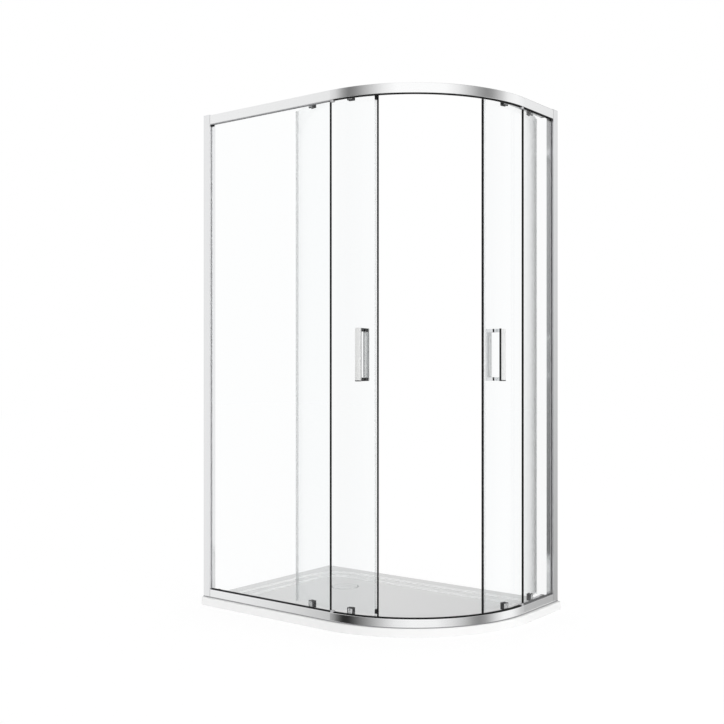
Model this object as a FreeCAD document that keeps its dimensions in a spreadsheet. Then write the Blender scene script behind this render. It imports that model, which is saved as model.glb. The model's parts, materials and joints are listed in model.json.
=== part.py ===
import FreeCAD, Part
import math
import os
import re
from dataclasses import dataclass

import Sketcher

# Offset quadrant shower enclosure: a low tray, two wall posts, two curved rails,
# two flat fixed panes and two curved sliding doors hung on wheeled trolleys.
# Frame: origin at the bottom centre of the tray's rectangle, +X along the long
# wall, +Y towards that wall, +Z up. Lengths in millimetres, angles in degrees.

DRIVING = {
    # Tray
    "tray_length": 1200,
    "tray_width": 800,
    "tray_height": 32,
    "corner_radius": 550,
    "tray_corner": 8,
    "tray_edge_round": 3,
    "rim_width": 60,
    "sill_margin": 10,
    "step_width": 42,
    "step_depth": 8,
    "recess_back_corner": 150,
    "recess_side_corner": 90,
    # Waste
    "waste_from_left": 300,
    "waste_from_back": 250,
    "waste_hole": 90,
    "waste_seat": 116,
    "waste_seat_depth": 4,
    "waste_play": 2,
    "flange_plate": 3,
    "flange_wall": 6,
    "cover_crown": 5,
    "cover_lip": 3,
    "cover_spigot": 2.7,
    "cover_play": 1,
    "cover_wall": 3,
    "flange_ledge": 3,
    # Rails
    "rail_setback": 15,
    "bend_tuck": 18,
    "enclosure_height": 1940,
    "rail_depth": 60,
    "rail_wall": 2,
    "glass_pocket": 11,
    "top_rail_height": 36,
    "track_height": 22,
    "bottom_rail_height": 32,
    "track_slot": 15,
    "track_ledge": 3,
    "guide_groove": 20,
    "groove_depth": 16,
    "groove_lip": 6,
    "rail_round": 1.5,
    "filler_height": 7,
    "strip_proud": 3,
    # Wall posts
    "post_width": 36,
    "post_depth": 30,
    "post_wall": 2,
    "post_grip": 13,
    "channel_leg": 7,
    "wall_hole": 5,
    "wall_hole_margin": 175,
    "post_screw": 4,
    "post_screw_head": 8,
    "post_screw_head_height": 2.2,
    "post_screw_margin": 300,
    "post_screw_from_wall": 4,
    "cap_plug": 8,
    "cap_play": 0.5,
    "cap_rise": 2.5,
    "end_block_thickness": 12,
    "end_block_plug": 20,
    # Fixed panes
    "glass_thickness": 6,
    "gasket_base": 3,
    "gasket_reach": 1.5,
    "end_seal_grip": 2.5,
    "end_seal_web": 1,
    "end_seal_lip": 0.6,
    # Doors
    "door_clearance_top": 8,
    "door_clearance_bottom": 6,
    "meeting_gap": 0.8,
    "magnet_width": 4,
    "magnet_depth": 8,
    "magnet_lift": 6,
    "lead_seal_width": 5,
    "door_seal_lip": 1.5,
    "door_seal_grip": 5,
    "trail_seal_web": 2,
    "trail_seal_fin": 2,
    "door_angle": 49,
    "front_roller_angle": 12.7,
    "rear_roller_angle": 35,
    "pivot_setback": 80,
    "left_opening": 20.82,
    "right_opening": 19.97,
    # Door running gear
    "clamp_width": 24,
    "clamp_depth": 17,
    "clamp_grip": 10,
    "clamp_bridge": 5,
    "guide_height": 25,
    "guide_gap": 5,
    "clamp_screw": 4,
    "wheel_diameter": 14,
    "wheel_width": 5,
    "wheel_gauge": 19,
    "wheel_lift": 0.25,
    "axle_diameter": 4,
    "axle_play": 0.05,
    "axle_head": 6,
    "axle_head_width": 1.3,
    "axle_end_play": 0.2,
    "trolley_length": 26,
    "trolley_depth": 16,
    "trolley_height": 12,
    "front_swivel": -2,
    "rear_swivel": 5,
    "stud_diameter": 5,
    "stud_in_clamp": 4,
    "stud_in_trolley": 3,
    "stud_collar": 9,
    "stud_collar_height": 2,
    "foot_diameter": 9,
    "foot_clearance": 2,
    "foot_spigot": 5,
    "foot_spigot_height": 3,
    "stop_length": 20,
    "stop_gap": 1.5,
    # Handles
    "handle_height": 192,
    "handle_centre": 973,
    "handle_setback": 62,
    "handle_width": 20,
    "handle_projection": 42,
    "handle_bar": 12,
    "handle_arm": 13,
    "handle_round": 1.2,
    "washer_thickness": 1.5,
    "washer_diameter": 13,
    "handle_bolt": 6,
    "handle_bolt_reach": 16,
}

# Places that follow from the driving dimensions, each used by several pieces.
PLACES = {
    "front_face": "rail_setback - tray_width / 2",
    "side_face": "tray_length / 2 - rail_setback",
    "rail_radius": "corner_radius - rail_setback - bend_tuck",
    "centre_x": "side_face - rail_radius",
    "centre_y": "front_face + rail_radius",
    "rail_top": "tray_height + enclosure_height",
    "rail_underside": "rail_top - top_rail_height",
    "sill_top": "tray_height + bottom_rail_height",
    "pocket_floor": "sill_top - groove_depth",
    "lip_top": "pocket_floor + groove_lip",
    "pocket_roof": "rail_top - rail_wall",
    "pocket_end": "rail_wall + glass_pocket",
    "channel_start": "pocket_end + rail_wall",
    "channel_end": "rail_depth - rail_wall",
    "track_inset": "(channel_start + channel_end) / 2",
    "track_radius": "rail_radius - track_inset",
    "degrees_per_mm": "180 / pi / track_radius",
    "track_underside": "rail_top - track_height",
    "ledge_top": "track_underside + track_ledge",
    "post_top": "rail_top - rail_wall",
    "gasket_side": "(glass_pocket - glass_thickness) / 2",
    "pane_outer": "rail_wall + gasket_side",
    "pane_inner": "pane_outer + glass_thickness",
    "cover_top": "sill_top + strip_proud",
    "strip_low": "rail_underside - strip_proud",
    "sill_width": "rail_setback + rail_depth + sill_margin",
    "recess_room": "tray_width - corner_radius - rim_width - tray_edge_round",
    "recess_corner": "min(recess_side_corner; recess_room)",
    "floor_level": "tray_height - 2 * step_depth",
    "waste_x": "waste_from_left - tray_length / 2",
    "waste_y": "tray_width / 2 - waste_from_back",
    "seat_level": "floor_level - waste_seat_depth",
    "flange_bore": "waste_hole - 2 * waste_play - 2 * flange_wall",
    "glass_low": "sill_top + door_clearance_bottom",
    "glass_high": "track_underside - door_clearance_top",
    "magnet_low": "glass_low + magnet_lift",
    "clamp_top": "glass_high + clamp_bridge",
    "guide_low": "lip_top + guide_gap",
    "door_outer": "track_radius + glass_thickness / 2",
    "door_inner": "track_radius - glass_thickness / 2",
    "inner_seat": "sqrt(door_inner ^ 2 - washer_diameter ^ 2 / 4)",
    "axle_level": "ledge_top + wheel_lift + wheel_diameter / 2",
    "trolley_low": "axle_level - trolley_height / 2",
    "handle_level": "tray_height + handle_centre",
    "lead_glass_mm": "meeting_gap / 2 + magnet_width + lead_seal_width",
    "trail_glass_angle": "door_angle - trail_seal_web * degrees_per_mm",
    "corner_bisector": "90 / 2",
    "roller_mid": "corner_bisector - (front_roller_angle + rear_roller_angle) / 2",
    "roller_half": "(rear_roller_angle - front_roller_angle) / 2",
    "throw_along": "pivot_setback + track_radius * cos(roller_half)",
    "throw_across": "track_radius * sin(roller_half)",
    "throw_length": "sqrt(throw_along ^ 2 + throw_across ^ 2)",
    "rear_bearing": "roller_mid - atan(throw_across / throw_along) / 1 deg",
    "left_pivot_x": "centre_x - pivot_setback * sin(roller_mid)",
    "left_pivot_y": "centre_y + pivot_setback * cos(roller_mid)",
    "right_pivot_x": "centre_x - pivot_setback * cos(roller_mid)",
    "right_pivot_y": "centre_y + pivot_setback * sin(roller_mid)",
    "left_arc_x": "left_pivot_x + pivot_setback * sin(roller_mid - left_opening)",
    "left_arc_y": "left_pivot_y - pivot_setback * cos(roller_mid - left_opening)",
    "right_arc_x": "right_pivot_x + pivot_setback * cos(roller_mid - right_opening)",
    "right_arc_y": "right_pivot_y - pivot_setback * sin(roller_mid - right_opening)",
    "left_run": "tray_length / 2 + centre_x",
    "right_run": "tray_width / 2 - centre_y",
}

WALL_HOLES = 4
TOLERANCE = 1e-3
V = FreeCAD.Vector
doc = FreeCAD.newDocument("shower_enclosure")
sizes = doc.addObject("Spreadsheet::Sheet", "sizes")
layout = doc.addObject("App::VarSet", "layout")
nodes = []


def formula(text):
    """The expression with each size or place written as a member of its object."""
    def qualify(match):
        word = match.group(0)
        if word in DRIVING:
            return "sizes." + word
        if word in PLACES:
            return "layout." + word
        return word

    return re.sub(r"[a-z][a-z_]*", qualify, str(text))


def value(text):
    """The number that an expression gives now."""
    return float(layout.evalExpression(formula(text)))


def fill_sheet():
    """Write the driving dimensions to the sheet and the derived places beside it."""
    for row, (name, number) in enumerate(DRIVING.items(), start=1):
        sizes.set(f"A{row}", str(number))
        sizes.setAlias(f"A{row}", name)
    doc.recompute()
    for name in PLACES:
        layout.addProperty("App::PropertyFloat", name, "Places")
    for name, text in PLACES.items():
        layout.setExpression(name, formula(text))
    doc.recompute()


# Sketch helpers


def bind(sketch, constraints):
    """Add constraints, each a kind, its geometry and the expression of its value."""
    for kind, geometry, text in constraints:
        index = sketch.addConstraint(Sketcher.Constraint(kind, *geometry, value(text)))
        sketch.setExpression(f"Constraints[{index}]", formula(text))


def new_sketch(body, plane, offset="0", turn="0"):
    """A sketch on one of the body's own planes, turned about its y and moved along its normal."""
    sketch = body.newObject("Sketcher::SketchObject", "Sketch")
    support = next(o for o in body.Origin.OriginFeatures if o.Role == plane + "_Plane")
    sketch.AttachmentSupport = [(support, "")]
    sketch.MapMode = "FlatFace"
    sketch.AttachmentOffset = FreeCAD.Placement(V(), FreeCAD.Rotation(V(0, 1, 0), 1))
    sketch.setExpression("AttachmentOffset.Rotation.Angle", formula(turn))
    sketch.setExpression("AttachmentOffset.Base.x", formula(f"({offset}) * sin({turn})"))
    sketch.setExpression("AttachmentOffset.Base.z", formula(f"({offset}) * cos({turn})"))
    return sketch


def add_loop(sketch, corners):
    """A closed loop of straight edges through corners given as pairs of expressions."""
    first = sketch.GeometryCount
    points = [V(value(x), value(y), 0) for x, y in corners]
    count = len(points)
    for i in range(count):
        sketch.addGeometry(Part.LineSegment(points[i], points[(i + 1) % count]), False)
    joins = [
        Sketcher.Constraint("Coincident", first + i, 2, first + (i + 1) % count, 1)
        for i in range(count)
    ]
    sketch.addConstraint(joins)
    for i, (x, y) in enumerate(corners):
        bind(sketch, [("DistanceX", (-1, 1, first + i, 1), x), ("DistanceY", (-1, 1, first + i, 1), y)])


def add_box(sketch, x0, x1, y0, y1):
    """A rectangle between two pairs of expressions."""
    add_loop(sketch, [(x0, y0), (x1, y0), (x1, y1), (x0, y1)])


def add_circle(sketch, x, y, diameter):
    """A circle at a point given by expressions."""
    index = sketch.addGeometry(
        Part.Circle(V(value(x), value(y), 0), V(0, 0, 1), value(diameter) / 2), False
    )
    bind(
        sketch,
        [
            ("DistanceX", (-1, 1, index, 3), x),
            ("DistanceY", (-1, 1, index, 3), y),
            ("Diameter", (index,), diameter),
        ],
    )


def add_rounded_box(sketch, x0, x1, y0, y1, radii):
    """A rectangle with a rounded corner at each of (x0,y0), (x1,y0), (x1,y1), (x0,y1)."""
    a, b, c, d = (value(t) for t in (x0, x1, y0, y1))
    r = [value(t) for t in radii]
    sides = [
        (V(a + r[0], c), V(b - r[1], c)),
        (V(b, c + r[1]), V(b, d - r[2])),
        (V(b - r[2], d), V(a + r[3], d)),
        (V(a, d - r[3]), V(a, c + r[0])),
    ]
    centres = [V(b - r[1], c + r[1]), V(b - r[2], d - r[2]), V(a + r[3], d - r[3]), V(a + r[0], c + r[0])]
    corner_radii = [radii[1], radii[2], radii[3], radii[0]]
    quarter = math.pi / 2
    for i in range(4):
        sketch.addGeometry(Part.LineSegment(*sides[i]), False)
        circle = Part.Circle(centres[i], V(0, 0, 1), value(corner_radii[i]))
        sketch.addGeometry(Part.ArcOfCircle(circle, (i - 1) * quarter, i * quarter), False)
    for i in range(4):
        line, arc, following = 2 * i, 2 * i + 1, (2 * i + 2) % 8
        sketch.addConstraint(Sketcher.Constraint("Tangent", line, 2, arc, 1))
        sketch.addConstraint(Sketcher.Constraint("Tangent", arc, 2, following, 1))
        sketch.addConstraint(Sketcher.Constraint("Vertical" if i % 2 else "Horizontal", line))
        bind(sketch, [("Radius", (arc,), corner_radii[i])])
    bind(
        sketch,
        [
            ("DistanceY", (-1, 1, 0, 1), y0),
            ("DistanceX", (-1, 1, 2, 1), x1),
            ("DistanceY", (-1, 1, 4, 1), y1),
            ("DistanceX", (-1, 1, 6, 1), x0),
        ],
    )


# Feature helpers


def new_body(x="0", y="0", z="0", angle="0"):
    """A body placed by expressions and turned about the vertical."""
    body = doc.addObject("PartDesign::Body", "Body")
    body.Placement = FreeCAD.Placement(V(), FreeCAD.Rotation(V(0, 0, 1), 1))
    body.setExpression("Placement.Base.x", formula(x))
    body.setExpression("Placement.Base.y", formula(y))
    body.setExpression("Placement.Base.z", formula(z))
    body.setExpression("Placement.Rotation.Angle", formula(angle))
    return body


def pad(body, sketch, length, both_ways=False):
    """Raise a sketch along its normal."""
    feature = body.newObject("PartDesign::Pad", "Pad")
    feature.Profile = sketch
    feature.setExpression("Length", formula(length))
    feature.Midplane = both_ways
    return feature


def pocket(body, sketch, depth, along_normal=False):
    """Cut a sketch against its normal, or along it."""
    feature = body.newObject("PartDesign::Pocket", "Pocket")
    feature.Profile = sketch
    feature.setExpression("Length", formula(depth))
    feature.Reversed = along_normal
    return feature


def round_edges(body, feature, edges, radius):
    """Round some edges of a feature."""
    known = feature.Shape.Edges
    names = [f"Edge{i}" for i, e in enumerate(known, start=1) if any(e.isSame(edge) for edge in edges)]
    rounding = body.newObject("PartDesign::Fillet", "Fillet")
    rounding.Base = (feature, names)
    rounding.setExpression("Radius", formula(radius))
    return rounding


def turn_about_z(body, kind, sketch, angle, backwards=False):
    """Revolve or groove a sketch about the body's vertical axis."""
    feature = body.newObject("PartDesign::" + kind, kind)
    feature.Profile = sketch
    feature.ReferenceAxis = (sketch, ["V_Axis"])
    feature.setExpression("Angle", formula(angle))
    feature.Reversed = backwards
    return feature


def node(label, piece):
    """Name a finished piece; its label names its file."""
    piece.Label = label
    nodes.append(piece)
    return piece


def group(label, pieces):
    """Several like pieces kept as separate solids of one named node."""
    compound = doc.addObject("Part::Compound", "Group")
    compound.Links = pieces
    return node(label, compound)


# The two ends of the enclosure


@dataclass(frozen=True)
class Side:
    """A wall end: distances run from the wall, insets from the rail's outer face."""

    name: str
    flip: int
    x: str
    y: str
    angle: str
    run: str

    def body(self, z="0"):
        """A body at the foot of this wall's outer edge."""
        return new_body(self.x, self.y, z, self.angle)

    def inset(self, text):
        """An inset as the body's own y."""
        return f"{self.flip} * ({text})"

    def plan(self, corners):
        """Corners given as distance from the wall and inset."""
        return [(a, self.inset(n)) for a, n in corners]

    def section(self, corners):
        """Corners given as inset and height."""
        return [(self.inset(n), z) for n, z in corners]


SIDES = [
    Side("left", 1, "-tray_length / 2", "front_face", "0", "left_run"),
    Side("right", -1, "side_face", "tray_width / 2", "-90", "right_run"),
]


# Tray and waste


def make_tray():
    """Low tray with a flat rim, two shallow steps and a waste hole."""
    body = new_body()
    outer = new_sketch(body, "XY")
    add_rounded_box(
        outer,
        "-tray_length / 2",
        "tray_length / 2",
        "-tray_width / 2",
        "tray_width / 2",
        ["tray_corner", "corner_radius", "tray_corner", "tray_corner"],
    )
    pad(body, outer, "tray_height")
    for step in range(2):
        recess = new_sketch(body, "XY", f"tray_height - {step} * step_depth")
        inwards = f"{step} * step_width"
        add_rounded_box(
            recess,
            f"rim_width + {inwards} - tray_length / 2",
            f"tray_length / 2 - sill_width - {inwards}",
            f"sill_width + {inwards} - tray_width / 2",
            f"tray_width / 2 - rim_width - {inwards}",
            [
                f"recess_corner - {inwards}",
                f"corner_radius - sill_width - {inwards}",
                f"recess_corner - {inwards}",
                f"recess_back_corner - {inwards}",
            ],
        )
        pocket(body, recess, "step_depth")
    seat = new_sketch(body, "XY", "floor_level")
    add_circle(seat, "waste_x", "waste_y", "waste_seat")
    pocket(body, seat, "waste_seat_depth")
    hole = new_sketch(body, "XY", "seat_level")
    add_circle(hole, "waste_x", "waste_y", "waste_hole")
    last = pocket(body, hole, "seat_level")
    doc.recompute()
    round_edges(body, last, step_edges(last.Shape), "tray_edge_round")
    return node("shower_tray", body)


def step_edges(shape):
    """The tray's outer top edge and the upper edge of each step."""
    rim = level_face(shape, "tray_height")
    ledge = level_face(shape, "tray_height - step_depth")
    inner_wires = [wire for wire in ledge.Wires if not wire.isSame(ledge.OuterWire)]
    return [edge for wire in rim.Wires + inner_wires for edge in wire.Edges]


def level_face(shape, level):
    """The level face at a height."""
    height = [value(level)]
    faces = [
        face
        for face in shape.Faces
        if is_near(face.BoundBox.ZMin, height) and is_near(face.BoundBox.ZMax, height)
    ]
    return max(faces, key=lambda face: face.Area)


def make_waste():
    """Flange clamped in the tray's hole, and the lift-off cover in it."""
    flange = new_body("waste_x", "waste_y", "0")
    plate = new_sketch(flange, "XY", "seat_level")
    add_circle(plate, "0", "0", "waste_seat - 2 * waste_play")
    add_circle(plate, "0", "0", "flange_bore + 2 * flange_ledge")
    pad(flange, plate, "flange_plate")
    tail = new_sketch(flange, "XY", "waste_play")
    add_circle(tail, "0", "0", "waste_hole - 2 * waste_play")
    add_circle(tail, "0", "0", "flange_bore")
    pad(flange, tail, "seat_level - waste_play")
    node("waste_flange", flange)

    cover = new_body("waste_x", "waste_y", "seat_level + flange_plate")
    profile = new_sketch(cover, "XZ")
    rim = "waste_seat / 2 - 2 * waste_play"
    plug = "flange_bore / 2 + flange_ledge - cover_play"
    add_loop(
        profile,
        [
            (plug, "-cover_spigot"),
            (plug, "0"),
            (rim, "0"),
            (rim, "cover_lip"),
            ("0", "cover_lip + cover_crown"),
            ("0", "cover_lip"),
            (f"{plug} - cover_wall", "cover_lip - cover_wall / 2"),
            (f"{plug} - cover_wall", "-cover_spigot"),
        ],
    )
    turn_about_z(cover, "Revolution", profile, "360")
    return node("waste_cover", cover)


# Rails


def make_rail(label, z, corners):
    """A rail of one section, bent round the corner between the two posts."""
    body = new_body("post_width - tray_length / 2", "front_face", z)
    section = new_sketch(body, "YZ")
    add_loop(section, corners)
    path = new_sketch(body, "XY")
    front = "left_run - post_width"
    side = "right_run - post_width"
    radius = value("rail_radius")
    length = value(front)
    path.addGeometry(Part.LineSegment(V(), V(length, 0, 0)), False)
    circle = Part.Circle(V(length, radius, 0), V(0, 0, 1), radius)
    path.addGeometry(Part.ArcOfCircle(circle, -math.pi / 2, 0), False)
    path.addGeometry(
        Part.LineSegment(V(length + radius, radius, 0), V(length + radius, radius + value(side), 0)),
        False,
    )
    path.addConstraint(
        [
            Sketcher.Constraint("Coincident", 0, 1, -1, 1),
            Sketcher.Constraint("Horizontal", 0),
            Sketcher.Constraint("Vertical", 2),
            Sketcher.Constraint("Tangent", 0, 2, 1, 1),
            Sketcher.Constraint("Tangent", 1, 2, 2, 1),
        ]
    )
    bind(
        path,
        [
            ("DistanceX", (0, 1, 0, 2), front),
            ("Radius", (1,), "rail_radius"),
            ("DistanceY", (2, 1, 2, 2), side),
        ],
    )
    pipe = body.newObject("PartDesign::AdditivePipe", "Pipe")
    pipe.Profile = section
    pipe.Spine = (path, ["Edge1", "Edge2", "Edge3"])
    doc.recompute()
    faces = (0, value("rail_depth"))
    arrises = [
        edge
        for edge in pipe.Shape.Edges
        if edge.Length > value("rail_depth") and is_near(rail_inset(edge, length, radius), faces)
    ]
    round_edges(body, pipe, arrises, "rail_round")
    return node(label, body)


def rail_inset(edge, length, radius):
    """How far the middle of a lengthwise edge lies inside the rail's outer face."""
    middle = edge.valueAt((edge.FirstParameter + edge.LastParameter) / 2)
    if middle.x < length:
        return middle.y
    if middle.y > radius:
        return length + radius - middle.x
    return radius - V(middle.x - length, middle.y - radius, 0).Length


def is_near(number, targets):
    """Whether a number is one of the targets, within rounding."""
    return min(abs(number - target) for target in targets) < TOLERANCE


def make_rails():
    """Top rail with a glass pocket and a wheel channel; bottom rail with a lower guide groove behind."""
    low = "-top_rail_height"
    under = "-track_height"
    ledge = "track_ledge - track_height"
    slot_outer = "track_inset - track_slot / 2"
    slot_inner = "track_inset + track_slot / 2"
    make_rail(
        "top_rail",
        "rail_top",
        [
            ("0", "0"),
            ("rail_depth", "0"),
            ("rail_depth", under),
            (slot_inner, under),
            (slot_inner, ledge),
            ("channel_end", ledge),
            ("channel_end", "-rail_wall"),
            ("channel_start", "-rail_wall"),
            ("channel_start", ledge),
            (slot_outer, ledge),
            (slot_outer, under),
            ("channel_start", under),
            ("channel_start", low),
            ("pocket_end", low),
            ("pocket_end", "-rail_wall"),
            ("rail_wall", "-rail_wall"),
            ("rail_wall", low),
            ("0", low),
        ],
    )
    top = "bottom_rail_height"
    floor = "bottom_rail_height - groove_depth"
    lip = f"{floor} + groove_lip"
    soffit = f"{floor} - rail_wall"
    groove_inner = "track_inset + guide_groove / 2"
    make_rail(
        "bottom_rail",
        "tray_height",
        [
            ("0", top),
            ("rail_wall", top),
            ("rail_wall", floor),
            ("pocket_end", floor),
            ("pocket_end", top),
            ("channel_start", top),
            ("channel_start", floor),
            (groove_inner, floor),
            (groove_inner, lip),
            ("rail_depth", lip),
            ("rail_depth", "0"),
            ("channel_end", "0"),
            ("channel_end", f"{lip} - rail_wall"),
            (f"{groove_inner} + rail_wall", f"{lip} - rail_wall"),
            (f"{groove_inner} + rail_wall", soffit),
            ("rail_wall", soffit),
            ("rail_wall", "0"),
            ("0", "0"),
        ],
    )


def make_fillers():
    """Dark strips that close the glass pocket round the curve, where no pane stands."""
    near, far = "rail_radius - rail_wall", "rail_radius - pocket_end"
    sill_end = "rail_radius - channel_start"
    roof = "rail_underside + filler_height"
    foot = "sill_top - filler_height"
    sections = {
        "top_filler": [(far, "strip_low"), (near, "strip_low"), (near, roof), (far, roof)],
        "bottom_filler": [
            (far, foot),
            (near, foot),
            (near, "cover_top"),
            (sill_end, "cover_top"),
            (sill_end, "sill_top"),
            (far, "sill_top"),
        ],
    }
    for label, corners in sections.items():
        body = new_body("centre_x", "centre_y", "0", "-90")
        strip = new_sketch(body, "XZ")
        add_loop(strip, corners)
        turn_about_z(body, "Revolution", strip, "90")
        node(label, body)


# Wall posts and fixed panes


def make_wall_channel(side):
    """Channel screwed to the wall, which the post slides over."""
    body = side.body("tray_height")
    plan = new_sketch(body, "XY")
    near, far = "post_wall", "post_depth - post_wall"
    add_loop(
        plan,
        side.plan(
            [
                ("0", near),
                ("channel_leg", near),
                ("channel_leg", f"{near} + post_wall"),
                ("post_wall", f"{near} + post_wall"),
                ("post_wall", f"{far} - post_wall"),
                ("channel_leg", f"{far} - post_wall"),
                ("channel_leg", far),
                ("0", far),
            ]
        ),
    )
    pad(body, plan, "post_top - tray_height")
    holes = new_sketch(body, "YZ")
    for step in range(WALL_HOLES):
        height = f"wall_hole_margin + {step} * (enclosure_height - 2 * wall_hole_margin) / {WALL_HOLES - 1}"
        add_circle(holes, side.inset("post_depth / 2"), height, "wall_hole")
    pocket(body, holes, "post_wall", along_normal=True)
    cut_post_screw_holes(side, body, "post_depth - post_wall")
    return node(f"{side.name}_wall_channel", body)


def post_screw_heights():
    """Heights of the screws that lock a post on its channel, above the tray."""
    return ["post_screw_margin", "enclosure_height / 2", "enclosure_height - post_screw_margin"]


def cut_post_screw_holes(side, body, inset):
    """Holes for the locking screws through one inner leg."""
    holes = new_sketch(body, "XZ", f"{-side.flip} * ({inset})")
    for height in post_screw_heights():
        add_circle(holes, "post_screw_from_wall", height, "post_screw")
    pocket(body, holes, "post_wall", along_normal=side.flip > 0)


def make_post(side):
    """Post with a pocket for the pane, open to the wall so that it covers the channel."""
    body = side.body("tray_height")
    plan = new_sketch(body, "XY")
    mouth = "post_width"
    floor = "post_width - post_grip"
    add_loop(
        plan,
        side.plan(
            [
                ("0", "0"),
                (mouth, "0"),
                (mouth, "rail_wall"),
                (floor, "rail_wall"),
                (floor, "pocket_end"),
                (mouth, "pocket_end"),
                (mouth, "post_depth"),
                ("0", "post_depth"),
                ("0", "post_depth - post_wall"),
                (f"{mouth} - post_wall", "post_depth - post_wall"),
                (f"{mouth} - post_wall", "pocket_end + post_wall"),
                (f"{floor} - post_wall", "pocket_end + post_wall"),
                (f"{floor} - post_wall", "post_wall"),
                ("0", "post_wall"),
            ]
        ),
    )
    pad(body, plan, "post_top - tray_height")
    cut_post_screw_holes(side, body, "post_depth")
    return node(f"{side.name}_post", body)


def make_post_cap(side):
    """Cap that closes a post's top, with a plug into its hollow."""
    body = side.body("post_top")
    plate = new_sketch(body, "XY")
    add_loop(
        plate,
        side.plan([("0", "0"), ("post_width", "0"), ("post_width", "post_depth"), ("0", "post_depth")]),
    )
    pad(body, plate, "rail_wall + cap_rise")
    near, far = "channel_leg + cap_play", "post_width - post_wall - cap_play"
    outer, inner = "pocket_end + post_wall + cap_play", "post_depth - post_wall - cap_play"
    plug = new_sketch(body, "XY", "-cap_plug")
    add_loop(plug, side.plan([(near, outer), (far, outer), (far, inner), (near, inner)]))
    pad(body, plug, "cap_plug")
    return body


def make_post_screws(side):
    """One post's locking screws: a flat head on the post and a shank through both legs."""
    screws = []
    for height in post_screw_heights():
        body = side.body("tray_height")
        head = new_sketch(body, "XZ", f"{-side.flip} * (post_depth)")
        add_circle(head, "post_screw_from_wall", height, "post_screw_head")
        raised = pad(body, head, "post_screw_head_height")
        raised.Reversed = side.flip > 0
        shank = new_sketch(body, "XZ", f"{-side.flip} * (post_depth)")
        add_circle(shank, "post_screw_from_wall", height, "post_screw")
        entered = pad(body, shank, "2 * post_wall")
        entered.Reversed = side.flip < 0
        screws.append(body)
    return screws


def make_fixed_pane(side):
    """Flat pane from the post's pocket to the start of the curve."""
    body = side.body("pocket_floor + gasket_base")
    plan = new_sketch(body, "XY")
    start = "post_width - post_grip + gasket_base"
    finish = f"{side.run} - end_seal_web"
    add_loop(
        plan,
        side.plan(
            [(start, "pane_outer"), (finish, "pane_outer"), (finish, "pane_inner"), (start, "pane_inner")]
        ),
    )
    pad(body, plan, "pocket_roof - pocket_floor - 2 * gasket_base")
    return node(f"{side.name}_fixed_glass", body)


def make_post_gasket(side):
    """Gasket round the pane's edge in the post, showing a little beyond it."""
    body = side.body("pocket_floor")
    plan = new_sketch(body, "XY")
    floor = "post_width - post_grip"
    mouth = "post_width + gasket_reach"
    add_loop(
        plan,
        side.plan(
            [
                (floor, "rail_wall"),
                (mouth, "rail_wall"),
                (mouth, "pane_outer"),
                (f"{floor} + gasket_base", "pane_outer"),
                (f"{floor} + gasket_base", "pane_inner"),
                (mouth, "pane_inner"),
                (mouth, "pocket_end"),
                (floor, "pocket_end"),
            ]
        ),
    )
    pad(body, plan, "pocket_roof - pocket_floor")
    return node(f"{side.name}_post_gasket", body)


def make_rail_gaskets(side):
    """Gaskets that hold the pane in the bottom and the top rail; the lower one covers the sill."""
    sill_edge = [("pocket_end", "sill_top"), ("channel_start", "sill_top"), ("channel_start", "cover_top")]
    levels = (
        ("pocket_floor", "pocket_floor + gasket_base", sill_edge),
        ("pocket_roof", "pocket_roof - gasket_base", [("pocket_end", "strip_low")]),
    )
    strips = []
    for base, seat, inner_edge in levels:
        body = side.body()
        profile = new_sketch(body, "YZ", "post_width + gasket_reach")
        mouth = inner_edge[-1][1]
        add_loop(
            profile,
            side.section(
                [
                    ("rail_wall", base),
                    ("pocket_end", base),
                    *inner_edge,
                    ("pane_inner", mouth),
                    ("pane_inner", seat),
                    ("pane_outer", seat),
                    ("pane_outer", mouth),
                    ("rail_wall", mouth),
                ]
            ),
        )
        pad(body, profile, f"{side.run} - end_seal_web - post_width - gasket_reach")
        strips.append(body)
    return group(f"{side.name}_rail_gaskets", strips)


def make_end_seal(side):
    """Dark strip folded over the pane's free edge."""
    body = side.body("cover_top")
    plan = new_sketch(body, "XY")
    grip = f"{side.run} - end_seal_web - end_seal_grip"
    edge = f"{side.run} - end_seal_web"
    outer = "pane_outer - end_seal_lip"
    inner = "pane_inner + end_seal_lip"
    add_loop(
        plan,
        side.plan(
            [
                (grip, outer),
                (side.run, outer),
                (side.run, inner),
                (grip, inner),
                (grip, "pane_inner"),
                (edge, "pane_inner"),
                (edge, "pane_outer"),
                (grip, "pane_outer"),
            ]
        ),
    )
    pad(body, plan, "strip_low - cover_top")
    return node(f"{side.name}_end_seal", body)


def make_end_block(side, low, high, plug):
    """Block that closes a rail's end beside the post and plugs into the rail."""
    body = side.body()
    plate = new_sketch(body, "YZ", "post_width - end_block_thickness")
    add_loop(
        plate,
        side.section([("post_depth", low), ("rail_depth", low), ("rail_depth", high), ("post_depth", high)]),
    )
    pad(body, plate, "end_block_thickness")
    spigot = new_sketch(body, "YZ", "post_width")
    inner, outer, bottom, top = plug
    add_loop(spigot, side.section([(inner, bottom), (outer, bottom), (outer, top), (inner, top)]))
    pad(body, spigot, "end_block_plug")
    return body


def make_end_blocks():
    """End blocks of the top rail and of the bottom rail."""
    top_plug = ("track_inset + track_slot / 2", "channel_end", "ledge_top", "pocket_roof")
    bottom_plug = (
        "track_inset + guide_groove / 2 + rail_wall",
        "channel_end",
        "tray_height",
        "lip_top - rail_wall",
    )
    group("top_end_blocks", [make_end_block(s, "track_underside", "rail_top", top_plug) for s in SIDES])
    group("bottom_end_blocks", [make_end_block(s, "tray_height", "lip_top", bottom_plug) for s in SIDES])


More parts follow.
